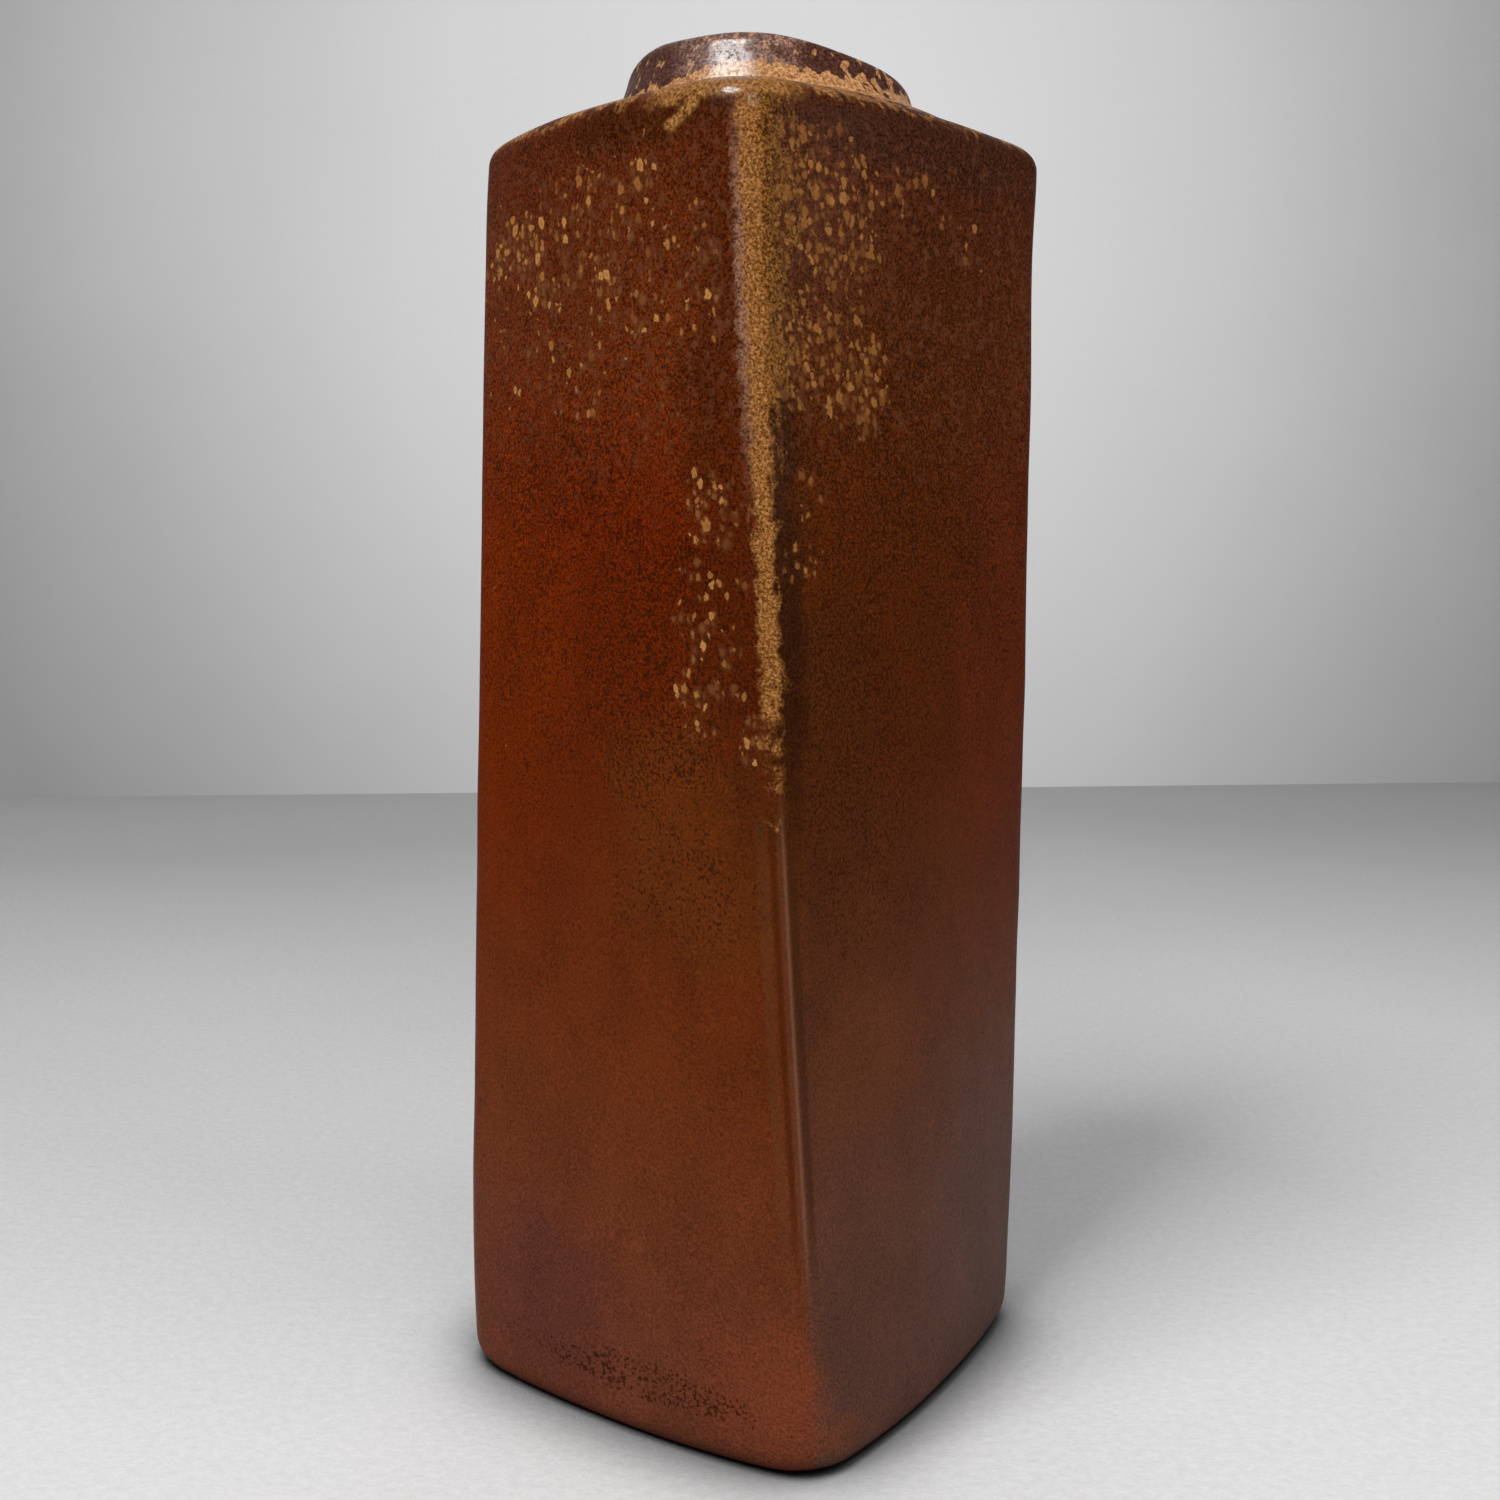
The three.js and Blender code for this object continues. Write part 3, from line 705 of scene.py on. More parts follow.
def new_finish(name, **sockets):
    """A material with its wiring, its shader and the sockets that are the same all over."""
    material = bpy.data.materials.new(name)
    material.use_nodes = True
    shader = material.node_tree.nodes["Principled BSDF"]
    for socket, value in sockets.items():
        shader.inputs[socket.replace("_", " ")].default_value = value
    return material, Wiring(material.node_tree), shader


def close_finish(wire, shader, tone, relief, roughness=None):
    """Gives the shader its colour, its relief in mm and its roughness, where that changes."""
    wire.link(tone, shader.inputs["Base Color"])
    if roughness is not None:
        wire.link(roughness, shader.inputs["Roughness"])
    bump = wire.add("Bump", {"Strength": 1.0, "Distance": 0.001, "Height": relief})
    wire.link(bump.outputs[0], shader.inputs["Normal"])


def band(wire, value, low, high, soft):
    """1 between two values, 0 outside them, with soft edges."""
    inside = wire.between(value, low - soft, low + soft)
    return wire.times(inside, wire.between(value, high + soft, high - soft))


def zone(wire, spot, *oval):
    """A ragged oval on the unrolled sides; its place and reaches, across and up, are in mm."""
    places = (spot["Across"], spot["Height"], spot["Ragged"], *oval)
    return wire.use(soft_zone, **dict(zip(ZONE_INPUTS, places)))["Zone"]


def cover_of(wire, spot, zones):
    """The most that any of some zones, each with its strength, covers a point."""
    cover = 0.0
    for strength, *oval in zones:
        cover = wire.most(cover, wire.times(zone(wire, spot, *oval), strength))
    return cover


def shaded(wire, tone, shade):
    """A colour made darker or lighter by a number."""
    return wire.add("VectorMath", {0: tone, 3: shade}, operation="SCALE").outputs[0]


# The glaze's colour up the front and up the right side, by share of TONE_HEIGHT, and where it changes over
TONE_HEIGHT = 260.0
SIDE_CHANGE = (-1.0, 2.5)
FRONT_TONES = (
    (0.00, (95, 50, 35)),
    (0.12, (98, 49, 28)),
    (0.30, (95, 41, 13)),
    (0.48, (89, 31, 4)),
    (0.70, (91, 27, 1)),
    (0.82, (90, 36, 9)),
    (0.98, (80, 32, 9)),
)
RIGHT_TONES = (
    (0.00, (82, 54, 45)),
    (0.20, (86, 50, 36)),
    (0.40, (79, 38, 17)),
    (0.52, (76, 31, 6)),
    (0.72, (75, 30, 3)),
    (0.84, (74, 33, 10)),
    (0.98, (66, 29, 13)),
)

# Where the fire left another colour: strength, colour, then across, height, reach across and reach up in mm
FIRE_MARKS = (
    (0.6, (101, 34, 0), (-74, 150, 22, 58)),
    (0.7, (93, 44, 10), (-20, 120, 28, 30)),
    (0.6, (88, 45, 38), (-66, 24, 22, 22)),
    (0.6, (114, 55, 33), (-12, 18, 20, 17)),
    (0.55, (57, 24, 5), (-4, 188, 18, 90)),
    (0.7, (58, 26, 6), (-28, 253, 30, 6)),
    (0.45, (68, 34, 11), (16, 140, 18, 36)),
    (0.75, (44, 19, 4), (5, 172, 6, 50)),
    (0.35, (96, 49, 19), (24, 78, 24, 18)),
    (0.5, (86, 33, 14), (76, 150, 24, 70)),
    (0.6, (78, 55, 47), (72, 34, 34, 44)),
    (0.6, (56, 30, 18), (48, 252, 44, 8)),
    (0.5, (106, 55, 31), (8, 8, 9, 5)),
)


def fired_tone(wire, spot):
    """Rust on the front, deeper brown on the right, both greyer and more purple towards the foot."""
    share = wire.maths("DIVIDE", spot["Height"], TONE_HEIGHT)
    side = wire.blend(spot["Near"], 0.5, wire.between(spot["Across"], *SIDE_CHANGE))
    tone = wire.mix(side, wire.ramp(share, FRONT_TONES), wire.ramp(share, RIGHT_TONES))
    for strength, colour, oval in FIRE_MARKS:
        tone = wire.mix(wire.times(zone(wire, spot, *oval), strength), tone, seen(*colour))
    return tone


# Where dark iron specks crowd: share, then across, height, reach across and reach up in mm
IRON_SPECKS = (
    (0.9, -58, 190, 32, 16),
    (1.0, -28, 152, 30, 40),
    (0.7, -60, 150, 26, 40),
    (0.9, 24, 140, 30, 50),
    (0.8, 44, 185, 44, 60),
    (0.8, -24, 114, 24, 20),
    (1.0, -42, 12, 40, 5),
)
IRON_TONE = seen(46, 18, 4)

# Fine grain, from the lower to the upper part, and the haze, which ends under the shoulder
GRAIN_HEIGHTS = (110, 205)
GRAIN_DEPTHS = (2.0, 5.2)
HAZE_HEIGHTS = (170, 215)
HAZE_SHARES = (0.05, 0.6)
HAZE_END = (258, 248)
HAZE_TONE = seen(98, 56, 36)


def mottled(wire, spot, tone):
    """Adds fine grain, slow clouds, a dull haze where the kiln's ash dusted the upper part, and specks."""
    upper = wire.between(spot["Height"], *GRAIN_HEIGHTS)
    grain = wire.noise(spot["Place"], 1.9, 2, 0.65)
    grain = wire.times(wire.minus(grain, 0.5), wire.blend(upper, *GRAIN_DEPTHS))
    cloud = wire.noise(wire.vector("MULTIPLY", spot["Place"], (1, 1, 0.6)), 0.07, 3, 0.6)
    cloud = wire.times(wire.minus(cloud, 0.5), 0.6)
    shade = wire.most(wire.maths("ADD", wire.maths("ADD", grain, cloud), 1.0), 0.35)
    tone = shaded(wire, tone, shade)
    haze = wire.between(wire.noise(spot["Place"], 0.55, 3, 0.7), 0.5, 0.64)
    dusted = wire.blend(wire.between(spot["Height"], *HAZE_HEIGHTS), *HAZE_SHARES)
    haze = wire.times(haze, dusted, wire.between(spot["Height"], *HAZE_END))
    tone = wire.mix(haze, tone, HAZE_TONE)
    specks = wire.use(fine_specks, place=spot["Place"], cover=cover_of(wire, spot, IRON_SPECKS), size=0.6)
    return wire.mix(wire.times(specks["Speck"], 0.8), tone, IRON_TONE)


# Where the ash gathered into drops: share, then across, height, reach across and reach up in mm
DROP_CLUSTERS = (
    (1.0, -69, 235, 12, 8),
    (1.0, -59, 225, 9, 5),
    (0.5, -44, 238, 18, 13),
    (0.7, -42, 228, 9, 7),
    (0.7, -29, 244, 4, 6),
    (0.4, -30, 221, 12, 9),
    (0.35, -14, 226, 10, 18),
    (0.35, -48, 206, 9, 10),
    (0.5, -12, 183, 10, 9),
    (0.45, -15, 158, 13, 18),
    (0.8, -5, 143, 4, 6),
    (0.22, -44, 226, 40, 36),
    (1.0, 18, 236, 15, 17),
    (1.0, 15, 211, 18, 12),
    (1.0, 26, 206, 12, 10),
    (0.35, 40, 242, 13, 7),
    (0.2, 54, 234, 12, 9),
    (0.35, 10, 174, 8, 5),
    (0.2, 14, 186, 8, 8),
)
DROP_TONES = (
    (0.0, (98, 57, 33)),
    (0.35, (122, 72, 38)),
    (0.7, (158, 102, 52)),
    (1.0, (182, 126, 70)),
)
OLIVE_DROP_TONE = seen(124, 80, 34)
HEART_TONE = seen(124, 76, 30)
HALO_TONE = seen(90, 51, 25)

# Two layers of drops: a cell's width in mm and a shift that sets the patterns apart
DROP_LAYERS = ((1.7, 0.0), (2.5, 37.0))

# Where the drops end under the shoulder, and where they turn olive on the right side
DROPS_END = (256, 249)
OLIVE_CHANGE = (0.0, 8.0)


def with_drops(wire, spot, tone):
    """Adds drops of ash in two sizes, each with a brown halo and an ochre heart, some of them dull."""
    cover = wire.times(
        cover_of(wire, spot, DROP_CLUSTERS),
        wire.between(spot["Height"], *DROPS_END),
        wire.between(wire.noise(spot["Place"], 0.22, 2, 0.5), 0.25, 0.46),
    )
    right = wire.between(spot["Across"], *OLIVE_CHANGE)
    crust = 0.0
    for cell, shift in DROP_LAYERS:
        drops = wire.use(ash_drops, place=spot["Place"], cover=cover, cell=cell, shift=shift)
        halo = wire.times(drops["Halo"], wire.blend(right, 0.4, 0.2))
        tone = wire.mix(halo, tone, HALO_TONE)
        olive = wire.times(right, 0.5)
        ash = wire.mix(olive, wire.ramp(drops["Tint"], DROP_TONES), OLIVE_DROP_TONE)
        ash = wire.mix(wire.times(drops["Heart"], 0.5), ash, HEART_TONE)
        share = wire.times(drops["Drop"], wire.blend(drops["Tint"], 0.5, 1.0))
        tone = wire.mix(share, tone, ash)
        crust = wire.most(crust, share)
    return tone, crust


# The ash along the ridge, and the painted highlight on its left border: their colours, then where they lie
# across and up, in mm
CREST_TONES = ((0.34, (84, 45, 14)), (0.5, (132, 83, 36)), (0.68, (182, 130, 80)))
FRINGE_TONES = ((0.34, (66, 35, 8)), (0.5, (112, 70, 24)), (0.68, (154, 106, 48)))
BORDER_HIGHLIGHT_TONE = seen(160, 118, 92)
CREST_WIDTH = (-2.2, 2.8)
CREST_WAVER = 7.0
CREST_FOOT = (132, 152)
CREST_FRAYING = 70.0
BORDER_HIGHLIGHT_WIDTH = (-3.9, -2.2)
BORDER_HIGHLIGHT_HEIGHTS = (198, 246)
FRINGE_FOOT = (140, 165)
FRINGE_WIDENING = (192, 208)
FRINGE_EDGES = (-17.0, -8.0)
FRINGE_STREAKS = 34.0
SHEEN_WIDTH = (-4.0, -0.5)
SHEEN_HEIGHTS = (150, 215)

# Fine light and dark lines along the bare lower ridge, the light ones a painted highlight and painted
# reflection of its rounded edge: where they end, then from and to across, strength and colour
LINES_TOP = (136, 118)
LINES_FOOT = (30, 60)
RIDGE_LINES_AND_HIGHLIGHTS = (
    (-5.6, -2.8, 0.25, (88, 58, 36)),
    (-2.2, -0.6, 0.65, (60, 27, 8)),
    (-0.4, 0.7, 0.35, (88, 58, 40)),
    (1.0, 1.7, 0.5, (124, 94, 74)),
    (2.2, 4.4, 0.6, (52, 29, 15)),
)


def with_ridge_ash(wire, spot, tone):
    """Adds the ash along the front-right ridge: a granular crest, an olive fringe and a lilac border that is
    a painted highlight.
    """
    across, height, near = spot["Across"], spot["Height"], spot["Near"]
    crumbs = wire.noise(spot["Place"], 1.9, 3, 0.7)
    blots = wire.noise(spot["Place"], 0.35, 3, 0.6)
    streaks = wire.noise(wire.vector("MULTIPLY", spot["Place"], (1, 1, 0.5)), 0.45, 3, 0.6)
    fringe_edge = wire.blend(wire.between(height, *FRINGE_WIDENING), *FRINGE_EDGES)
    fringe_edge = wire.linear(streaks, FRINGE_STREAKS, fringe_edge)
    blotched = wire.most(wire.between(blots, 0.4, 0.56), wire.between(across, 9, 3))
    fringe = wire.times(
        wire.between(wire.minus(across, fringe_edge), 2.5, -2.5),
        wire.times(wire.between(across, -1.0, 1.0), near),
        wire.between(height, *FRINGE_FOOT),
        wire.blend(wire.between(crumbs, 0.4, 0.56), 0.35, 0.95),
        wire.blend(blotched, 0.35, 1.0),
    )
    tone = wire.mix(fringe, tone, wire.ramp(crumbs, FRINGE_TONES))

    # Painted highlight and painted reflection: light lines along the rounded lower ridge, between darker ones
    below = wire.times(wire.between(height, *LINES_TOP), wire.between(height, *LINES_FOOT), near)
    for low, high, strength, colour in RIDGE_LINES_AND_HIGHLIGHTS:
        line = wire.times(band(wire, across, low, high, 0.6), strength, below)
        tone = wire.mix(line, tone, seen(*colour))

    wavering = wire.sway(blots, CREST_WAVER, across)
    # Painted highlight: a lilac streak along the left border of the ridge's rounded edge
    border = wire.times(
        band(wire, wavering, *BORDER_HIGHLIGHT_WIDTH, 1.3),
        band(wire, height, *BORDER_HIGHLIGHT_HEIGHTS, 18),
        wire.blend(wire.between(crumbs, 0.36, 0.58), 0.1, 0.8),
        near,
    )
    frayed = wire.between(wire.sway(blots, CREST_FRAYING, height), *CREST_FOOT)
    crest = wire.times(
        band(wire, wavering, *CREST_WIDTH, 1.0),
        wire.times(frayed, near),
        wire.blend(wire.between(crumbs, 0.36, 0.5), 0.7, 1.0),
    )
    tone = wire.mix(crest, tone, wire.ramp(crumbs, CREST_TONES))
    tone = wire.mix(border, tone, BORDER_HIGHLIGHT_TONE)
    sheen = wire.times(band(wire, across, *SHEEN_WIDTH, 1.2), wire.between(height, *SHEEN_HEIGHTS))
    return tone, wire.times(crest, crumbs), sheen


# What lies on top, and a painted lilac highlight on the collar: its colours, then where it starts and is
# full, across and up, in mm
COLLAR_TONES = ((0.36, (50, 25, 18)), (0.5, (70, 40, 31)), (0.64, (96, 62, 50)))
COLLAR_HIGHLIGHT_TONES = ((0.36, (84, 54, 46)), (0.5, (132, 98, 86)), (0.64, (186, 150, 130)))
CREAM_TONES = ((0.36, (124, 80, 46)), (0.5, (170, 120, 76)), (0.66, (206, 160, 114)))
GOLD_TONES = ((0.36, (82, 48, 18)), (0.5, (136, 90, 44)), (0.66, (180, 130, 78)))
SHOULDER_GOLD = (256.0, 257.6)
RIDGE_GOLD = (253.6, 255.4)
RIDGE_GOLD_WIDTH = (-24, 12)
COLLAR_START = (261.5, 262.5)
COLLAR_HIGHLIGHT_WIDTH = (-20, 12)
COLLAR_HIGHLIGHT_HEIGHTS = (262, 266)
CREAM_FOOT = (260.4, 261.6)
CREAM_CHANGE = (12, 26)
CREAM_LEVELS = (264.8, 266.2)
CREAM_SLOPES = (0.16, 0.03)
CREAM_RISE = 3.2
CREAM_RISE_WIDTH = (-15, 10)
COLLAR_UPPER = (262, 264)
GLINT_WIDTH = (-26, 6)
CORNER_GLINT_WIDTH = (-9, 3)
CORNER_GLINT_HEIGHTS = (251, 254)

# The run of ash under the shoulder's edge, as short ovals from its tip to the edge
ASH_RUN = (
    (1.0, -19.2, 251.0, 2.4, 1.5),
    (1.0, -17.3, 251.8, 2.4, 1.3),
    (1.0, -15.4, 252.8, 2.4, 1.3),
    (1.0, -13.6, 254.0, 2.4, 1.8),
)


def with_top_ash(wire, spot, tone):
    """Adds what lies on top: a gold-blotched shoulder, a painted lilac highlight on the collar's front, cream
    round the collar's root and blobs above it.
    """
    place, across, height = spot["Place"], spot["Across"], spot["Height"]
    crumbs = wire.noise(place, 1.6, 3, 0.7)
    lumps = wire.noise(wire.vector("MULTIPLY", place, (1, 1, 0.6)), 0.5, 2, 0.5)
    blots = wire.noise(place, 0.16, 3, 0.6)

    edge = wire.between(wire.sway(lumps, 7.0, height), *SHOULDER_GOLD)
    edge = wire.times(edge, wire.between(blots, 0.42, 0.54))
    near_ridge = wire.times(band(wire, across, *RIDGE_GOLD_WIDTH, 6), spot["Near"])
    low_edge = wire.between(wire.sway(lumps, 4.0, height), *RIDGE_GOLD)
    edge = wire.most(edge, wire.times(near_ridge, low_edge))
    run = wire.times(cover_of(wire, spot, ASH_RUN), wire.between(crumbs, 0.3, 0.4), spot["Near"])
    gold = wire.most(wire.times(edge, 0.9), run)
    tone = wire.mix(gold, tone, wire.ramp(crumbs, GOLD_TONES))

    tone = wire.mix(wire.between(height, *COLLAR_START), tone, wire.ramp(crumbs, COLLAR_TONES))
    # Painted highlight: a pale lilac patch on the front of the collar, under its glint
    lilac = wire.times(
        band(wire, across, *COLLAR_HIGHLIGHT_WIDTH, 4),
        wire.between(height, *COLLAR_HIGHLIGHT_HEIGHTS),
        wire.blend(wire.between(lumps, 0.4, 0.6), 0.3, 0.9),
    )
    tone = wire.mix(lilac, tone, wire.ramp(crumbs, COLLAR_HIGHLIGHT_TONES))
    right = wire.between(across, *CREAM_CHANGE)
    risen = band(wire, across, *CREAM_RISE_WIDTH, 13)
    level = wire.linear(risen, CREAM_RISE, wire.blend(right, *CREAM_LEVELS))
    slope = wire.blend(right, *CREAM_SLOPES)
    climbing = wire.linear(wire.minus(level, height), slope, lumps)
    climbing = wire.times(wire.between(climbing, 0.48, 0.55), wire.between(height, *CREAM_FOOT))
    upper = wire.between(height, *COLLAR_UPPER)
    spots = wire.times(wire.between(lumps, 0.6, 0.65), upper)
    cream = wire.most(climbing, wire.times(spots, 0.7))
    tone = wire.mix(cream, tone, wire.ramp(crumbs, CREAM_TONES))

    sheen = wire.times(upper, wire.blend(band(wire, across, *GLINT_WIDTH, 6), 0.1, 1.0))
    corner = wire.between(height, *CORNER_GLINT_HEIGHTS)
    sheen = wire.most(sheen, wire.times(band(wire, across, *CORNER_GLINT_WIDTH, 2), corner))
    sheen = wire.times(sheen, wire.between(wire.noise(place, 1.1, 3, 0.75), 0.3, 0.58))
    return tone, wire.most(gold, cream), sheen


PINHOLE_TONE = seen(190, 150, 120)

# How far each crust stands over the glaze, in mm, and how deep the pinholes are
DROP_RELIEF = 0.05
CREST_RELIEF = 0.15
TOP_RELIEF = 0.12
HOLE_RELIEF = -0.1


def make_iron_glaze():
    """Red-brown iron glaze: rust sides, dull lilac where the ash dusted it, tan drops and crusts of ash."""
    material, wire, shader = new_finish(
        "iron_glaze", Specular_IOR_Level=0.025, Specular_Tint=(1.0, 0.5, 0.25, 1.0), Coat_Roughness=0.2
    )
    spot = dict(wire.use(unrolled).items())
    place = spot["Place"]
    spot["Ragged"] = wire.linear(wire.noise(place, 0.09, 3, 0.6), 1.2, -0.6)
    tone = mottled(wire, spot, fired_tone(wire, spot))
    tone, drops = with_drops(wire, spot, tone)
    tone, crest, ridge_sheen = with_ridge_ash(wire, spot, tone)
    tone, top, top_sheen = with_top_ash(wire, spot, tone)
    holes = wire.use(pinholes, place=place, spacing=14, size=0.28)["Hole"]
    tone = wire.mix(holes, tone, PINHOLE_TONE)
    rough = wire.linear(wire.noise(place, 0.5, 3, 0.6), 0.25, 0.27)
    sheen = wire.most(top_sheen, wire.linear(ridge_sheen, 0.35, 0.03))
    wire.link(sheen, shader.inputs["Coat Weight"])
    skin = wire.times(wire.noise(place, 0.55, 3, 0.6), 0.1)
    crusts = ((drops, DROP_RELIEF), (crest, CREST_RELIEF), (top, TOP_RELIEF), (holes, HOLE_RELIEF))
    for crust, rise in crusts:
        skin = wire.linear(crust, rise, skin)
    skin = wire.linear(wire.noise(place, 1.4, 2, 0.6), wire.blend(top_sheen, 0.02, 0.14), skin)
    close_finish(wire, shader, tone, skin, wire.linear(crest, 0.2, rough))
    return material


LINER_TONES = ((0.3, (40, 20, 12)), (0.55, (66, 32, 18)), (0.75, (88, 52, 34)))
LINER_SPECK_TONE = seen(24, 10, 6)


def make_liner_glaze():
    """The same glaze inside: darker and clouded, with dark specks."""
    material, wire, shader = new_finish("liner_glaze", Specular_IOR_Level=0.35)
    place = wire.use(unrolled)["Place"]
    cloud = wire.noise(place, 0.12, 4, 0.6)
    tone = wire.ramp(cloud, LINER_TONES)
    specks = wire.use(fine_specks, place=place, cover=0.4, size=0.8)["Speck"]
    tone = wire.mix(wire.times(specks, 0.5), tone, LINER_SPECK_TONE)
    skin = wire.times(wire.noise(place, 0.4, 3, 0.5), 0.15)
    close_finish(wire, shader, tone, skin, wire.linear(cloud, 0.25, 0.2))
    return material


CLAY_TONES = ((0.3, (92, 58, 42)), (0.5, (128, 84, 60)), (0.7, (158, 114, 86)))
CLAY_SPECK_TONE = seen(50, 30, 22)


def make_bare_clay():
    """Unglazed red-brown stoneware with grog and iron specks."""
    material, wire, shader = new_finish("bare_clay", Specular_IOR_Level=0.2)
    place = wire.use(unrolled)["Place"]
    grog = wire.noise(place, 1.6, 4, 0.7)
    tone = wire.ramp(grog, CLAY_TONES)
    specks = wire.use(fine_specks, place=place, cover=0.3, size=0.7)["Speck"]
    tone = wire.mix(wire.times(specks, 0.7), tone, CLAY_SPECK_TONE)
    close_finish(wire, shader, tone, wire.times(grog, 0.35), wire.linear(grog, 0.2, 0.72))
    return material


def place_from_camera_side(wire):
    """Where a point of the room lies seen from the camera: aside, behind the vase and up, in metres."""
    place = wire.add("TexCoord", {}).outputs["Object"]
    turned = wire.add("VectorRotate", {"Vector": place, "Angle": -VIEW_ANGLE}, rotation_type="Z_AXIS")
    return turned.outputs[0], wire.add("SeparateXYZ", {0: turned.outputs[0]}).outputs


# Painted light on floor and wall: greys of the floor by depth and of the wall by distance from its lightest
# place, in metres
FLOOR_PAINTED_LIGHT_TONES = ((0.35, (233, 233, 233)), (0.55, (210, 210, 211)), (0.8, (174, 174, 175)))
WALL_PAINTED_LIGHT_TONES = ((0.1, (236, 236, 237)), (0.35, (218, 218, 219)), (0.65, (165, 165, 166)))
FLOOR_PAINTED_LIGHT_ASIDE = 0.2
WALL_PAINTED_LIGHT_ASIDE = 0.06
WALL_PAINTED_LIGHT_HEIGHT = 0.34

# Painted shade on the floor round the foot: how open to light the floor is where this shade is black and
# where it is clear, and how far back it reaches
PAINTED_SHADE_OPENNESS = (0.25, 0.98)
PAINTED_SHADE_END = (0.2, 0.4)


def make_floor_paint():
    """Pale matt floor with fine grit, with painted light that greys it towards the wall and painted shade
    close round the foot.
    """
    material, wire, shader = new_finish("floor_paint", Roughness=0.8, Specular_IOR_Level=0.2)
    place, (aside, behind, _) = place_from_camera_side(wire)
    # Painted light: the floor's grey darkens away from its lightest place and back towards the wall
    apart = wire.maths("ABSOLUTE", wire.minus(aside, FLOOR_PAINTED_LIGHT_ASIDE))
    depth = wire.linear(apart, 0.35, behind)
    depth = wire.linear(wire.noise(place, 5, 3, 0.5), 0.12, depth)
    depth = wire.linear(depth, 0.5, 0.4)
    grit = wire.noise(place, 420, 3, 0.7)
    tone = shaded(wire, wire.ramp(depth, FLOOR_PAINTED_LIGHT_TONES), wire.sway(grit, 0.25, 1.0))
    # Painted shade: the floor is darkened near the foot, where the vase closes it off from light
    open_to_light = wire.add("AmbientOcclusion", {"Distance": PAINTED_SHADE_REACH}, samples=8).outputs["AO"]
    clear = wire.between(open_to_light, *PAINTED_SHADE_OPENNESS)
    tone = shaded(wire, tone, wire.most(clear, wire.between(behind, *PAINTED_SHADE_END)))
    close_finish(wire, shader, tone, wire.times(grit, 0.25))
    return material


def make_wall_paint():
    """Pale matt wall with painted light, lightest behind the vase."""
    material, wire, shader = new_finish("wall_paint", Roughness=0.8, Specular_IOR_Level=0.2)
    place, (aside, _, up) = place_from_camera_side(wire)
    # Painted light: the wall's grey darkens away from its lightest place behind the vase
    aside = wire.minus(aside, WALL_PAINTED_LIGHT_ASIDE)
    up = wire.times(wire.minus(up, WALL_PAINTED_LIGHT_HEIGHT), 0.7)
    away = wire.maths("SQRT", wire.linear(aside, aside, wire.times(up, up)))
    away = wire.linear(wire.noise(place, 4, 3, 0.5), 0.1, away)
    wire.link(wire.ramp(away, WALL_PAINTED_LIGHT_TONES), shader.inputs["Base Color"])
    return material


iron_glaze = make_iron_glaze()
liner_glaze = make_liner_glaze()
bare_clay = make_bare_clay()

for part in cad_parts.values():
    part.data.materials.clear()
    part.data.materials.append(bare_clay)

for make, finish, node, slot in (
    (make_glaze_coat, iron_glaze, "outer_glaze", "glaze"),
    (make_foot, bare_clay, "floor_slab", "foot_clay"),
    (make_liner, liner_glaze, "liner_glaze", "liner"),
):
    piece = make()
    piece.data.materials.clear()
    piece.data.materials.append(finish)
    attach(piece, "root")
    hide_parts(node)


def round_the_vase(angle, distance, height):
    """A place round the vase; angle 0 is the camera's side and grows to the camera's right."""
    azimuth = VIEW_ANGLE + math.radians(angle)
    return Vector((distance * math.sin(azimuth), -distance * math.cos(azimuth), height))


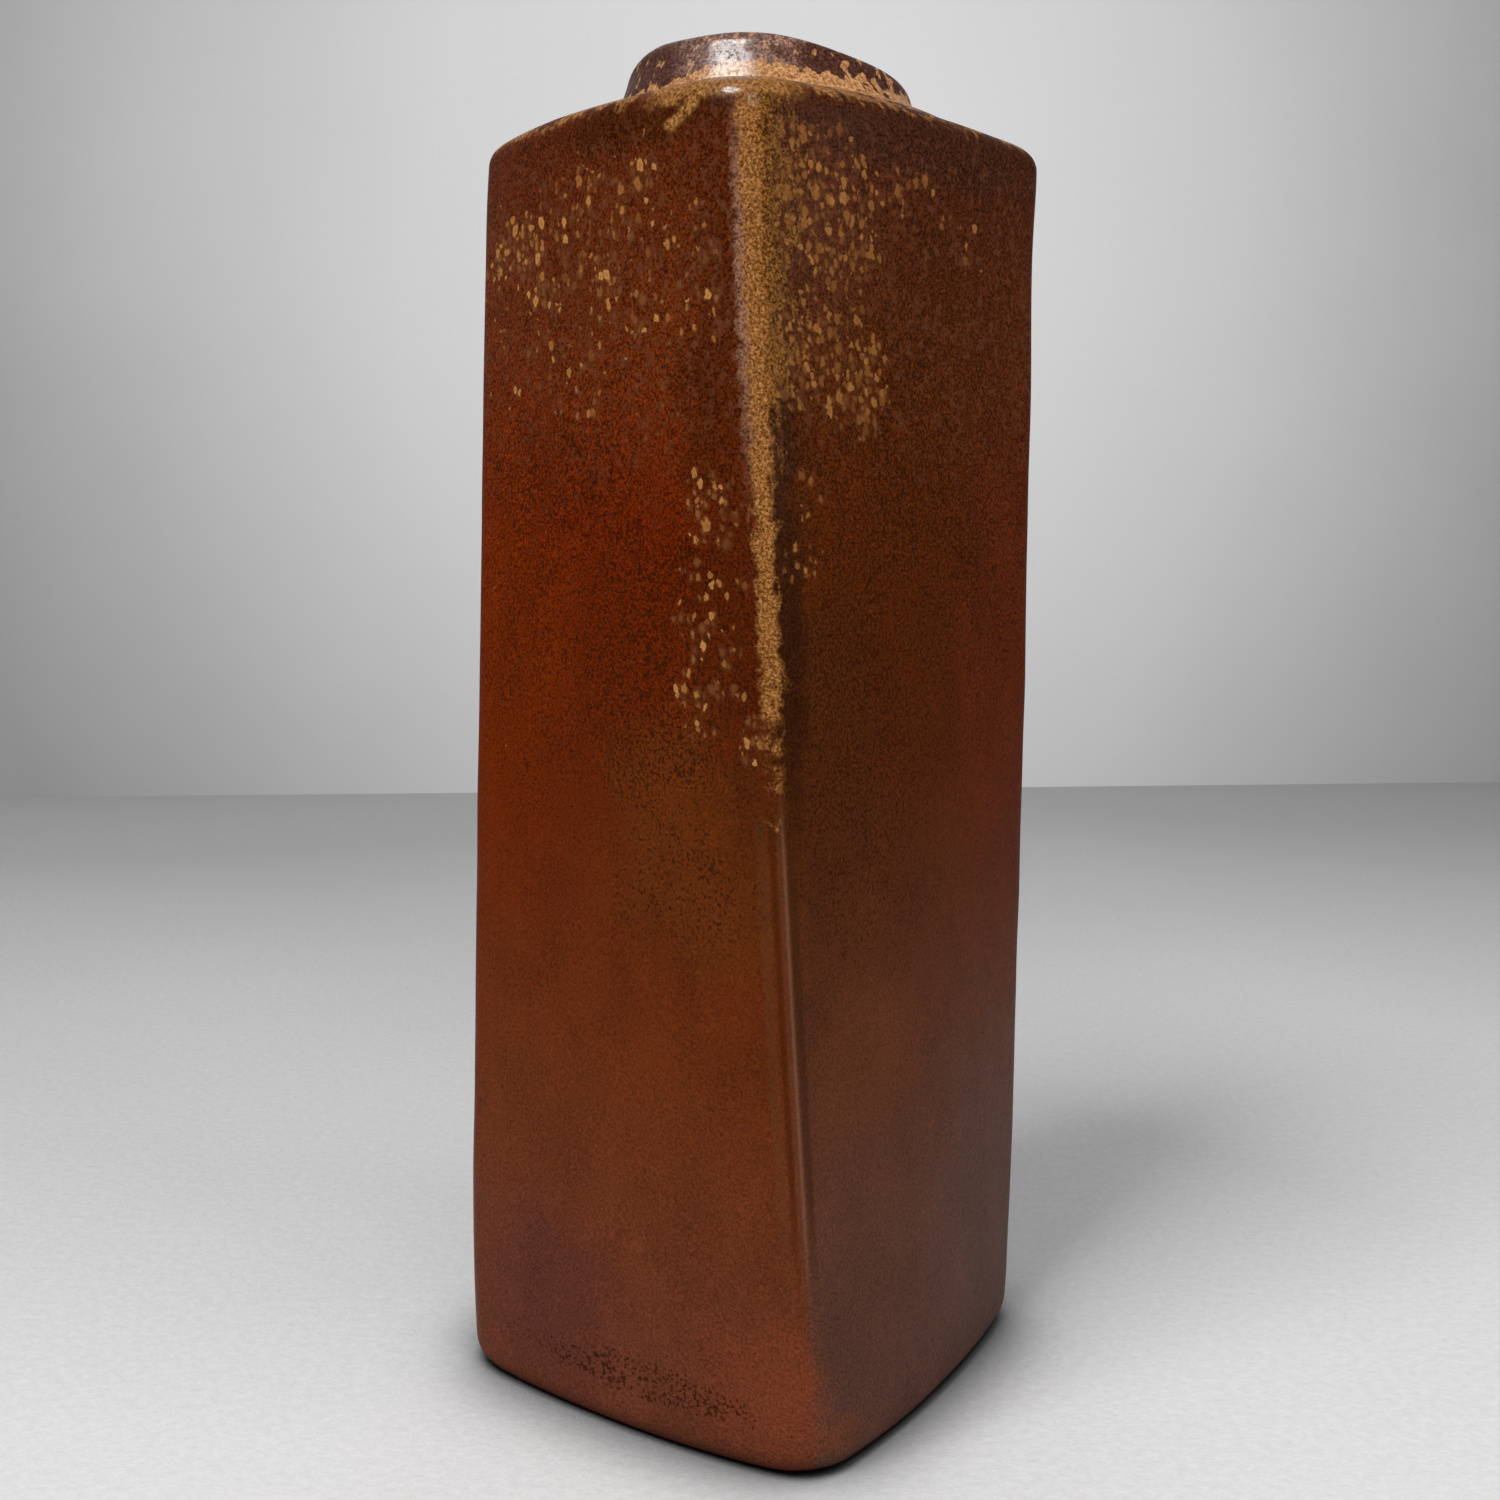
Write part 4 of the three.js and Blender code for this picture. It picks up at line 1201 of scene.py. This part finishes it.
camera_data = bpy.data.cameras.new("camera")
camera_data.sensor_width = SENSOR_WIDTH
camera_data.lens = LENS
camera = bpy.data.objects.new("camera", camera_data)
bpy.context.scene.collection.objects.link(camera)
camera.location = round_the_vase(0, CAMERA_DISTANCE, CAMERA_HEIGHT)
camera.rotation_euler = (CAMERA_PITCH, CAMERA_ROLL, CAMERA_HEADING)
bpy.context.scene.camera = camera


def add_lamp(name, angle, distance, height, size, power):
    """Adds a square soft lamp that looks at the middle of the vase."""
    data = bpy.data.lights.new(name, "AREA")
    data.shape = "SQUARE"
    data.size = size
    data.energy = power
    lamp = bpy.data.objects.new(name, data)
    bpy.context.scene.collection.objects.link(lamp)
    lamp.location = round_the_vase(angle, distance, height)
    aim = Vector((0, 0, BODY_HEIGHT / 2)) - lamp.location
    lamp.rotation_euler = aim.to_track_quat("-Z", "Y").to_euler()


for lamp in LAMPS:
    add_lamp(*lamp)


def start_plane(name):
    """A new level plane of the room, in edit mode."""
    bpy.ops.object.select_all(action="DESELECT")
    bpy.ops.mesh.primitive_plane_add(size=ROOM_WIDTH)
    plane = bpy.context.object
    plane.name = name
    bpy.ops.object.mode_set(mode="EDIT")
    return plane


def add_floor_and_wall():
    """A level floor as far as the wall, and the wall, turned a little against the view."""
    foot = round_the_vase(180, WALL_DISTANCE, 0)
    facing = round_the_vase(WALL_TURN, 1, 0)
    floor = start_plane("floor")
    bpy.ops.mesh.bisect(plane_co=foot, plane_no=facing, clear_inner=True)
    bpy.ops.object.mode_set(mode="OBJECT")
    floor.data.materials.append(make_floor_paint())
    wall = start_plane("wall")
    turn = -VIEW_ANGLE - math.radians(WALL_TURN)
    bpy.ops.transform.rotate(value=-RIGHT_ANGLE, orient_axis="X", center_override=(0, 0, 0))
    bpy.ops.transform.rotate(value=turn, orient_axis="Z", center_override=(0, 0, 0))
    bpy.ops.transform.translate(value=foot + Vector((0, 0, ROOM_WIDTH / 2 - WALL_SINK)))
    bpy.ops.object.mode_set(mode="OBJECT")
    wall.data.materials.append(make_wall_paint())


add_floor_and_wall()

world = bpy.data.worlds.new("studio")
world.use_nodes = True
world.node_tree.nodes["Background"].inputs["Color"].default_value = (1, 1, 1, 1)
world.node_tree.nodes["Background"].inputs["Strength"].default_value = ROOM_LIGHT
bpy.context.scene.world = world
bpy.context.scene.view_settings.view_transform = "Standard"
